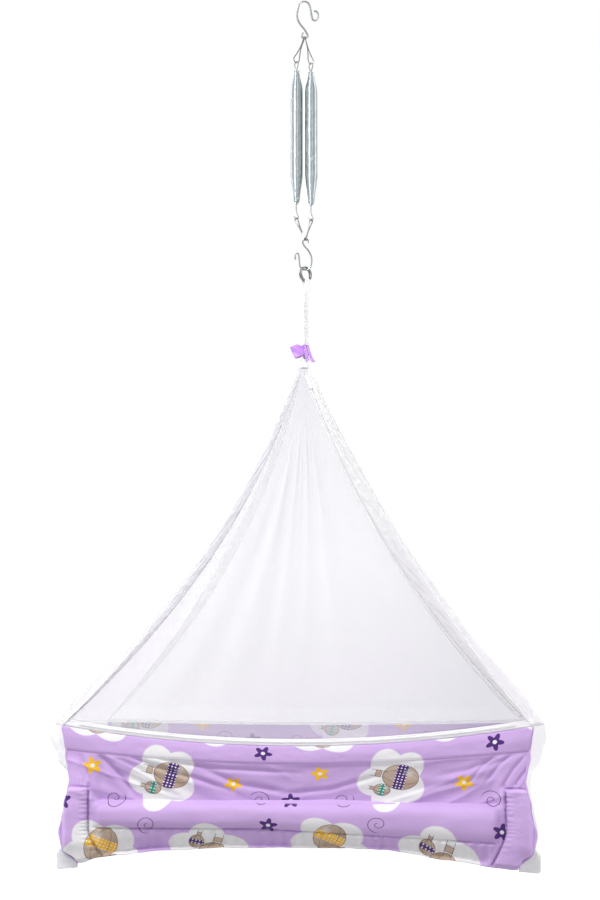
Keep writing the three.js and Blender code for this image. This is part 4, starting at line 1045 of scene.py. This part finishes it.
def make_rim_tape(name, node, face, width, material):
    half = RIM_HALF_X - 2 * SEAM_GAP

    def place(u, v, out):
        x = mix(-half, half, u)
        return face_point(face, x, rim_slope(face, x) - width * (1 - v), out)

    def point_at(u, v):
        seed = 4.0 if face == "front" else 8.0
        return place(u, v, 0.0005 * bump_noise(mix(-half, half, u) * 26, v * 2, seed))

    piece = cloth_piece(name, node, "zip_white", material, 0.0008, (220, 5), (2 * half, width), point_at)
    for edge, share in (("upper", 0.16), ("lower", 0.84)):
        sew(f"{name}_{edge}_stitches", 180, lambda s: place(s, share, 0.0007), white_thread)


def make_zip_teeth(name, node, place_at, length):
    """Teeth from both sides that mesh along the chain.
    place_at(run, across) gives a point and its outward way."""
    verts, faces = [], []
    count = int(length / ZIP_TOOTH_PITCH)
    for tooth in range(count):
        sign = 1 if tooth % 2 else -1
        low, high = (tooth + 0.08) / count, (tooth + 0.92) / count
        inner, outer = -sign * 0.0007, sign * ZIP_WIDTH / 2
        base = len(verts)
        for lift, shrink in ((-0.0007, 1.0), (0.0005, 1.0), (0.0009, 0.72)):
            for run, across in ((low, inner), (high, inner), (high, outer), (low, outer)):
                point, outward = place_at(
                    mix((low + high) / 2, run, shrink), mix((inner + outer) / 2, across, shrink),
                )
                verts.append(point + outward * lift)
        for ring in range(2):
            for corner in range(4):
                after = (corner + 1) % 4
                a, b = base + ring * 4 + corner, base + ring * 4 + after
                faces.append((a, b, b + 4, a + 4) if sign > 0 else (a, a + 4, b + 4, b))
        top, bottom = [base + 8 + corner for corner in range(4)], [base + corner for corner in range(4)]
        faces.append(tuple(top) if sign > 0 else tuple(reversed(top)))
        faces.append(tuple(reversed(bottom)) if sign > 0 else tuple(bottom))
    mesh = make_mesh(name, verts, faces)
    add_piece(name, mesh, zip_nylon, node, "zip_white")
    mesh.shade_flat()


def front_place(x, slope, out):
    """A point on the tent's front and its outward way."""
    here = face_point("front", x, slope, out)
    return here, (face_point("front", x, slope, out + 0.001) - here).normalized()


def ridge_zip_place(run, across):
    return front_place(*zip_arc(run, across), 0.0010)


RIM_CHAIN_HALF = RIM_HALF_X - ZIP_FOOT_INSET - 2 * ZIP_WIDTH


def rim_zip_place(run, across):
    x = mix(-RIM_CHAIN_HALF, RIM_CHAIN_HALF, run)
    return front_place(x, rim_slope("front", x) - ZIP_TAPE_WIDTH / 2 + across, 0.0005 + FIT + 0.0008)


make_rim_tape("front_rim_tape", "front_rim_zip_tape", "front", ZIP_TAPE_WIDTH, zip_cloth)
make_rim_tape("back_rim_tape", "back_rim_band", "back", BACK_HEM_WIDTH, sheer_satin)
make_zip_teeth("ridge_zip_teeth", "ridge_zip_chain", ridge_zip_place, 0.741)
make_zip_teeth("rim_zip_teeth", "front_rim_zip_chain", rim_zip_place, 2 * RIM_CHAIN_HALF)


# Bed: creases as lines with a depth, drawn on the side panels in metres across and up

CREASES = {
    "front": (
        # depth, width, points
        (-0.0030, 0.0045, ((-0.314, -1.406), (-0.231, -1.431), (-0.145, -1.449), (0.009, -1.457))),
        (-0.0042, 0.0055, ((-0.300, -1.416), (-0.248, -1.445), (-0.162, -1.469), (-0.107, -1.487))),
        (-0.0045, 0.0060, ((-0.344, -1.416), (-0.303, -1.462), (-0.273, -1.498))),
        (-0.0045, 0.0060, ((-0.370, -1.428), (-0.351, -1.479), (-0.340, -1.512))),
        (-0.0032, 0.0050, ((-0.248, -1.445), (-0.227, -1.486))),
        (-0.0036, 0.0060, ((-0.170, -1.446), (-0.093, -1.477), (-0.008, -1.490))),
        (-0.0024, 0.0060, ((0.396, -1.409), (0.354, -1.431), (0.295, -1.451), (0.228, -1.464))),
        (-0.0016, 0.0055, ((0.330, -1.430), (0.270, -1.470), (0.180, -1.492))),
        (-0.0028, 0.0050, ((0.150, -1.458), (0.060, -1.484), (-0.020, -1.492))),
        (0.0030, 0.0070, ((-0.322, -1.436), (-0.262, -1.466), (-0.200, -1.486))),
        (0.0016, 0.0080, ((0.350, -1.446), (0.262, -1.462), (0.160, -1.472))),
        (-0.0026, 0.0036, ((0.376, -1.412), (0.350, -1.436), (0.318, -1.474))),
        (-0.0028, 0.0036, ((0.390, -1.424), (0.368, -1.448), (0.342, -1.488))),
        (-0.0028, 0.0034, ((0.396, -1.442), (0.382, -1.460), (0.364, -1.482))),
        (-0.0024, 0.0034, ((0.352, -1.414), (0.322, -1.438), (0.286, -1.478))),
        (-0.0024, 0.0030, ((0.398, -1.458), (0.390, -1.468), (0.380, -1.482))),
    ),
    "back": (
        (-0.0036, 0.0055, ((0.310, -1.410), (0.240, -1.440), (0.130, -1.462))),
        (-0.0040, 0.0060, ((0.350, -1.420), (0.312, -1.470), (0.290, -1.500))),
        (-0.0030, 0.0055, ((-0.340, -1.416), (-0.250, -1.452), (-0.120, -1.478))),
        (-0.0034, 0.0060, ((-0.372, -1.430), (-0.346, -1.484))),
        (-0.0030, 0.0060, ((0.060, -1.440), (-0.060, -1.470), (-0.190, -1.484))),
        (0.0030, 0.0080, ((0.200, -1.450), (0.080, -1.474), (-0.040, -1.490))),
        (-0.0030, 0.0050, ((0.180, -1.446), (0.120, -1.478))),
    ),
}


def crease_out(face, x, z):
    """How far the creases move a point outwards."""
    total = 0.0
    for depth, width, points in CREASES[face]:
        best, place, run = 1e9, 0.0, 0.0
        spans = [math.dist(a, b) for a, b in zip(points, points[1:])]
        length = sum(spans)
        for (ax, az), (bx, bz), span in zip(points, points[1:], spans):
            share = min(1.0, max(0.0, ((x - ax) * (bx - ax) + (z - az) * (bz - az)) / (span * span)))
            gap = math.hypot(x - mix(ax, bx, share), z - mix(az, bz, share))
            if gap < best:
                best, place = gap, (run + share * span) / length
            run += span
        if best < 4 * width:
            taper = smooth(place / 0.25) * smooth((1 - place) / 0.25) + 0.25
            fine = math.exp(-((best / width) ** 2))
            wide = math.exp(-((best / (2.4 * width)) ** 2))
            total += 1.5 * depth * min(1.0, taper) * (fine - 0.45 * wide)
    return total


def roll_edges(face, x):
    """Top and foot of the padded roll behind the side panel."""
    if face == "front":
        return -1.5085 - 0.010 * max(0.0, x), -1.550 - 0.054 * max(0.0, x + 0.05)
    return -1.5085, -1.5535


def column_seam(z):
    """How far from the bed's middle a corner column's inner seam runs; it swings inwards at the foot."""
    return 0.3535 - 0.0235 * min(1.0, max(0.0, (-1.553 - z) / 0.054)) ** 1.3


def panel_out(face, x, z):
    """The panel's relief over the roll, the mat and the corner pads."""
    top, foot = roll_edges(face, x)
    path = column_seam(z)
    middle = smooth((path - 0.0035 - abs(x)) / 0.02)
    seed = 4.0 if face == "front" else 11.0
    share = (2 * z - top - foot) / (top - foot)
    dome = max(0.0, 1 - abs(share) ** 2.6) ** 0.75
    swell = 0.9 + 0.14 * bump_noise(x * 9, 1.5) + 0.10 * bump_noise(x * 24, z * 30, seed)
    out = 0.0140 * middle * dome * swell
    # The cloth sinks between the facing and the roll, and wrinkles fan down from both upper corners
    hollow = smooth((-1.414 - z) / 0.014) * smooth((z - top + 0.002) / 0.010)
    sunk = min(1.0, max(0.0, (-1.418 - z) / (-1.418 - top)))
    out -= 0.0135 * middle * sunk * smooth((z - top + 0.004) / 0.010)
    slant = 0.40 if x < 0 else -0.36
    wrinkle = 1 - abs(bump_noise(x * 3.2, (z + slant * x) * 34, seed))
    out += mix(0.0018, 0.0034, smooth((abs(x) - 0.06) / 0.16)) * hollow * (wrinkle ** 5 - 0.3)
    # The mat's side below the roll leans inwards and is gathered in short upright folds
    low = smooth((foot - z + 0.001) / 0.003)
    out += middle * low * mix(0.0040, -0.0080, (foot - z) / 0.032)
    gather = math.sin(x * 2 * math.pi / 0.019 + 4 * bump_noise(x * 14, 0.3))
    out += 0.0024 * low * middle * gather * (0.5 + 0.9 * bump_noise(x * 31, 2.0))
    out -= (0.0032 + 0.0016 * bump_noise(x * 17, 5.0)) * middle * math.exp(-(((z - foot) / 0.0026) ** 2))
    # Padded corner columns with a seam along the top and a gathered, stitched inner seam
    inset = (2 * abs(x) - path - 0.4025) / (0.4025 - path)
    if abs(inset) < 1.3:
        ledge = smooth((-1.4825 - z) / 0.005)
        column = max(0.0, 1 - abs(inset) ** 3) ** 0.7
        puff = 1 + 0.16 * bump_noise(x * 30, z * 30, seed)
        out += {"front": 0.0095, "back": 0.0050}[face] * column * ledge * puff
        crease = math.exp(-(((z - COLUMN_TOP_Z - 0.0012 * bump_noise(x * 90, seed)) / 0.0019) ** 2))
        out -= (0.0042 if x > 0 else 0.0014) * crease * smooth((1.1 - abs(inset)) / 0.3)
        above = smooth((z - COLUMN_TOP_Z) / 0.004) * smooth((-1.452 - z) / 0.03)
        out += 0.0011 * above * math.sin(x * 2 * math.pi / 0.0085 + 3 * bump_noise(x * 40, z * 30)) * column
    path += 0.0008 * bump_noise(z * 160, seed, 2.0)
    below = smooth((-1.472 - z) / 0.008)
    out -= 0.0052 * below * math.exp(-(((abs(x) - path) / 0.0020) ** 2))
    beside = math.exp(-(((abs(x) - path - 0.0055) / 0.0070) ** 2)) * below
    tuck = math.sin(z * 2 * math.pi / 0.0074 + 5 * bump_noise(z * 40, 1.0))
    out += 0.0013 * beside * tuck * max(0.0, 0.7 + 1.3 * bump_noise(z * 55, seed))
    calm = smooth((0.402 - abs(x)) / 0.012)
    wander = 0.0022 * bump_noise(x * 7, z * 16, 5.0) + 0.0010 * bump_noise(x * 22, z * 40, 9.0)
    return out * calm + wander * calm + crease_out(face, x, z) * calm


def side_point(face, x, t, out=0.0):
    rim = face_point("back", x, rim_slope(face, x))
    corner = RIM_HALF_Y * read_shares(SIDE_OUTLINE_SHARES, t)
    z = mix(rim.z, bottom_z(x), t) - hem_drop(x) * smooth((t - 0.8) / 0.2)
    y = corner + (rim.y - RIM_HALF_Y) * (1 - t) + out
    return Vector((x, FACE_SIGNS[face] * y, z))


SEAM_SHARE = FACING_WIDTH / BED_CORNER_DEPTH
PANEL_TOP = SEAM_SHARE + 0.0003 / BED_CORNER_DEPTH
PANEL_THICKNESS = 0.002
CORNER_GAP = 0.0017
COLUMN_TOP_Z = -1.4815
PRINT_SHIFTS = {"front": (0.030, 0.150), "back": (0.140, 0.060)}


def facing_lean(x):
    """How far the facing's foot stands out from its top."""
    return 0.0060 * smooth((RIM_HALF_X - abs(x)) / 0.07)


def side_spread(u, t):
    return mix(-1, 1, u) * (bed_end_x(t) - CORNER_GAP)


def print_uv(face, x, t):
    return x + PRINT_SHIFTS[face][0], PRINT_SHIFTS[face][1] - t * BED_CORNER_DEPTH


def make_facing(face):
    low, high = 0.0009 / BED_CORNER_DEPTH, SEAM_SHARE + 0.0016 / BED_CORNER_DEPTH

    def point_at(u, v):
        t = mix(low, high, v)
        x = side_spread(u, t)
        puff = 0.0018 + 0.0012 * bump_noise(x * 12, v * 1.6, 2.0) + 0.0007 * bump_noise(x * 46, v * 3, 6.0)
        puff *= math.sin(math.pi * v)
        turn_in = 0.0022 * smooth((v - 0.90) / 0.10)
        return side_point(face, x, t, 0.0012 + puff - turn_in + facing_lean(x) * v)

    def uv_at(u, v):
        t = mix(low, high, v)
        return print_uv(face, side_spread(u, t), t)

    def seam_at(share):
        x = side_spread(0.005 + 0.99 * share, SEAM_SHARE)
        return side_point(face, x, SEAM_SHARE, facing_lean(x) + 0.0022) + Vector((0, 0, 0.0035))

    piece = cloth_piece(
        f"{face}_facing_cloth", f"{face}_facing", "facing", printed, 0.0012, (260, 16), uv_at, point_at,
    )
    sew(f"{face}_facing_stitches", 200, seam_at, lilac_thread)


def panel_point(face, x, t, lift=0.0):
    v = (t - PANEL_TOP) / (1 - PANEL_TOP)
    edge = smooth(v / 0.05) * smooth((1 - v) / 0.04)
    tuck = facing_lean(x) * (1 - smooth(v / 0.45)) - 0.0008 * (1 - smooth(v / 0.05))
    return side_point(face, x, t, panel_out(face, x, side_point(face, x, t).z) * edge + tuck + lift)


def make_column_gather_shade(face, side):
    """Dark stitches along a corner column's inner seam: painted shade standing in for the shadows of the
    seam's fine gathers.
    """
    points = []
    for step in range(49):
        t = mix(0.462, 0.99, step / 48)
        z = side_point(face, column_seam(-1.5), t).z
        x = column_seam(z) + (0.0013 if step % 2 else -0.0013) + 0.0006 * bump_noise(z * 90, 2.0)
        points.append(panel_point(face, SIDE_SIGNS[side] * x, t, 0.0036))
    stitches(f"{face}_{side}_column_gather_shade", points, gather_shade_thread, length=0.0021, gap=0.0006, radius=0.0005)


def make_panel(face):
    def place(u, v):
        t = mix(PANEL_TOP, 1, v)
        return side_spread(u, t), t

    piece = cloth_piece(
        f"{face}_panel_cloth", f"{face}_panel", "lilac", printed, 0.0014, (360, 110),
        lambda u, v: print_uv(face, *place(u, v)), lambda u, v: panel_point(face, *place(u, v)),
    )
    # The corner columns are of plain cloth, but the front left one is printed
    piece.data.materials.append(lilac_cotton)
    for polygon in piece.data.polygons:
        x, _, z = polygon.center
        plain = abs(x) > column_seam(z) and z < COLUMN_TOP_Z and (x > 0 or face == "back")
        polygon.material_index = 1 if plain else 0


for face in FACE_SIGNS:
    make_facing(face)
    make_panel(face)
    for side in SIDE_SIGNS:
        make_column_gather_shade(face, side)


def make_end_panel(side):
    """White satin with soft puffs between its seams."""

    def point_at(u, v):
        t = mix(0.002, 1, v)
        w = 2 * u - 1
        seed = 1.0 if side == "left" else 4.0
        puff = 0.0040 * bump_noise(w * 3.2, v * 4.0, seed) + 0.0022 * bump_noise(w * 8, v * 9, 2.0)
        edge = smooth((1 - abs(w)) / 0.06) * smooth(v / 0.04) * smooth((1 - v) / 0.04)
        return end_point(side, w, t, (0.001 + puff) * edge)

    piece = cloth_piece(
        f"{side}_end_cloth", f"{side}_end_panel", "satin", satin, 0.0012, (120, 76), (0.39, 0.236), point_at,
    )


for side in SIDE_SIGNS:
    make_end_panel(side)


PIPING_RADIUS = 0.0023


def make_corner_piping(face, side):
    """A corded seam that closes the corner between a side panel and the satin end."""
    points = []
    inset = 0.0012 if face == "front" else 0
    for step in range(61):
        t = mix(0.004, 1, step / 60)
        half = RIM_HALF_Y * read_shares(SIDE_OUTLINE_SHARES, t)
        drop = mix(RIM_DROP, RIM_DROP + BED_CORNER_DEPTH, t)
        x = bed_end_x(t) + 0.0004 * math.sin(t * 60) - inset
        points.append(Vector((SIDE_SIGNS[side] * x, FACE_SIGNS[face] * (half - 0.0002), -drop)))
    mesh = tube_mesh(f"{face}_{side}_piping", points, PIPING_RADIUS, 10)
    cloth, slot = (lilac_cotton, "lilac") if face == "front" else (satin, "satin")
    add_piece(mesh.name, mesh, cloth, slot=slot)


for face in FACE_SIGNS:
    for side in SIDE_SIGNS:
        make_corner_piping(face, side)


def make_base():
    half_x = bed_end_x(1) - SEAM_GAP
    half_y = RIM_HALF_Y * SIDE_OUTLINE_SHARES[-1][1] - PANEL_THICKNESS / 2 - 2 * FIT

    def point_at(u, v):
        x, y = mix(-half_x, half_x, u), mix(half_y, -half_y, v)
        edge = math.sin(math.pi * u) ** 0.5 * math.sin(math.pi * v) ** 0.5
        wave = 0.0012 * bump_noise(x * 8, y * 8, 3.0) + 0.0006 * bump_noise(x * 24, y * 24, 5.0)
        near_side = 1 - smooth((half_y - abs(y)) / 0.030)
        return Vector((x, y, bottom_z(x) - abs(wave) * edge - hem_drop(x) * near_side))

    piece = cloth_piece(
        "base_cloth", "base_cover", "lilac", printed, 0.0012, (150, 70),
        lambda u, v: (u * 2 * half_x + 0.05, v * 2 * half_y + 0.11), point_at,
    )


make_base()


# Cushions: each starts from its node's own form and is filled by pressure

def baked(piece):
    """Applies the piece's modifiers to its mesh."""
    old = piece.data
    graph = bpy.context.evaluated_depsgraph_get()
    mesh = bpy.data.meshes.new_from_object(piece.evaluated_get(graph))
    piece.modifiers.clear()
    piece.data = mesh
    bpy.data.meshes.remove(old)


def relax(mesh, rounds):
    """Evens a mesh out without moving its middle."""
    shape = bmesh.new()
    shape.from_mesh(mesh)
    for _ in range(rounds):
        bmesh.ops.smooth_vert(
            shape, verts=shape.verts, factor=0.5, use_axis_x=True, use_axis_y=True, use_axis_z=True,
        )
    shape.to_mesh(mesh)
    shape.free()


FILL_FRAMES, FILL_PRESSURE = 20, 4.0


def fill(piece, cap):
    """Blows the piece up as a closed cloth for some frames, then caps how far each point went."""
    cloth = piece.modifiers.new("fill", "CLOTH")
    settings = cloth.settings
    settings.quality = 5
    settings.mass = 0.3
    settings.tension_stiffness = settings.compression_stiffness = 12
    settings.shear_stiffness = 6
    settings.bending_stiffness = 0.6
    settings.use_pressure = True
    settings.uniform_pressure_force = FILL_PRESSURE
    settings.effector_weights.gravity = 0
    cloth.collision_settings.use_collision = False
    scene = bpy.context.scene
    for step in range(1, FILL_FRAMES + 1):
        scene.frame_set(step)
    result = piece.evaluated_get(bpy.context.evaluated_depsgraph_get())
    moved = [vert.co.copy() for vert in result.to_mesh().vertices]
    result.to_mesh_clear()
    piece.modifiers.clear()
    scene.frame_set(1)
    for vert, after in zip(piece.data.vertices, moved):
        step = after - vert.co
        if step.length > cap:
            step = step.normalized() * cap
        vert.co = vert.co + step
    piece.data.update()


def make_cushion(name, node, shrink=0.003, voxel=0.006, cap=0.006):
    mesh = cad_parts[node].data.copy()
    mesh.name = name
    mesh.materials.clear()
    shape = bmesh.new()
    shape.from_mesh(mesh)
    bmesh.ops.remove_doubles(shape, verts=shape.verts, dist=0.00001)
    bmesh.ops.recalc_face_normals(shape, faces=shape.faces)
    shape.to_mesh(mesh)
    shape.free()
    piece = add_object(name, mesh)
    remesh = piece.modifiers.new("even", "REMESH")
    remesh.mode = "VOXEL"
    remesh.voxel_size = voxel
    baked(piece)
    relax(piece.data, 4)
    normals = [vert.normal.copy() for vert in piece.data.vertices]
    for vert, normal in zip(piece.data.vertices, normals):
        vert.co -= normal * shrink
    fill(piece, cap)
    relax(piece.data, 1)
    for vert in piece.data.vertices:
        vert.co += vert.normal * 0.0010 * bump_noise(*(vert.co * 26))
    rounder = piece.modifiers.new("rounding", "SUBSURF")
    rounder.levels = rounder.render_levels = 1
    baked(piece)
    piece.data.materials.clear()
    piece.data.materials.append(lilac_cotton)
    piece.data.shade_smooth()
    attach(piece, "cradle")
    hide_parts(node)
    return piece


def seam_round(name, piece, centre):
    """Stitches laid round a cushion where rays from its inside come out."""
    surface = BVHTree.FromObject(piece, bpy.context.evaluated_depsgraph_get())
    points = []
    for step in range(241):
        angle = 2 * math.pi * step / 240
        place, normal, _, _ = surface.ray_cast(centre, Vector((0, math.cos(angle), math.sin(angle))))
        if place is not None:
            points.append(place + normal * 0.0003)
    if len(points) > 2:
        stitches(name, points, lilac_thread)


for face in FACE_SIGNS:
    roll = make_cushion(f"{face}_roll", f"{face}_bolster")
    low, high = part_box(f"{face}_bolster")
    for side, share in (("left", 0.075), ("right", 0.925)):
        x = mix(low.x, high.x, share)
        middle = Vector((x, (low.y + high.y) / 2, bottom_z(x) - bottom_z(0) + high.z - 0.028))
        seam_round(f"{face}_roll_{side}_seam", roll, middle)
for side in SIDE_SIGNS:
    make_cushion(f"{side}_pad", f"{side}_end_pad")
make_cushion("mat", "base_mat", shrink=0.0025, voxel=0.007, cap=0.005)


def make_corner_point(side):
    """The white seam corner that hangs below a front corner, with its cut edge showing."""
    low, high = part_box(f"{side}_corner_point")
    middle_y = (low.y + high.y) / 2
    w = 0.008 / (RIM_HALF_Y * SIDE_OUTLINE_SHARES[-1][1] - 0.0017) - 1
    top_z, foot_z = end_point("right", w, CORNER_TOP_SHARE).z, low.z + 0.0004

    def point_at(u, v):
        seam = end_point("right", w, mix(CORNER_TOP_SHARE, 1, min(1.0, v / 0.85)))
        inner = Vector((seam.x - 0.0012, 0, seam.z - 0.0078 * max(0.0, v - 0.85) / 0.15))
        reach = read_shares(((0, 0), (0.42, 0.14), (0.62, 1), (1, 1)), v)
        outer = Vector((mix(seam.x + 0.0014, CORNER_OUTER_X, reach), 0, mix(top_z, foot_z, v)))
        place = inner.lerp(outer, u)
        # Its lower outer corner is rounded
        round_x, round_z = CORNER_OUTER_X - CORNER_ROUND, foot_z + CORNER_ROUND
        aside, under = place.x - round_x, round_z - place.z
        if aside > 0 and under > 0:
            share = max(aside, under) / math.hypot(aside, under)
            place.x, place.z = round_x + aside * share, round_z - under * share
        bulge = 0.0055 * math.sin(math.pi * min(1.0, u + 0.08)) * math.sin(math.pi * min(1.0, v + 0.06))
        wave = 0.0018 * bump_noise(u * 3, v * 4, 1.0 if side == "left" else 2.0) * u
        return Vector((SIDE_SIGNS[side] * place.x, middle_y - 0.0035 + wave - bulge, place.z))

    piece = cloth_piece(
        f"{side}_corner_cloth", f"{side}_corner_point", "satin", hem_satin, 0.0009, (16, 40),
        (0.03, 0.077), point_at,
    )


for side in SIDE_SIGNS:
    make_corner_point(side)
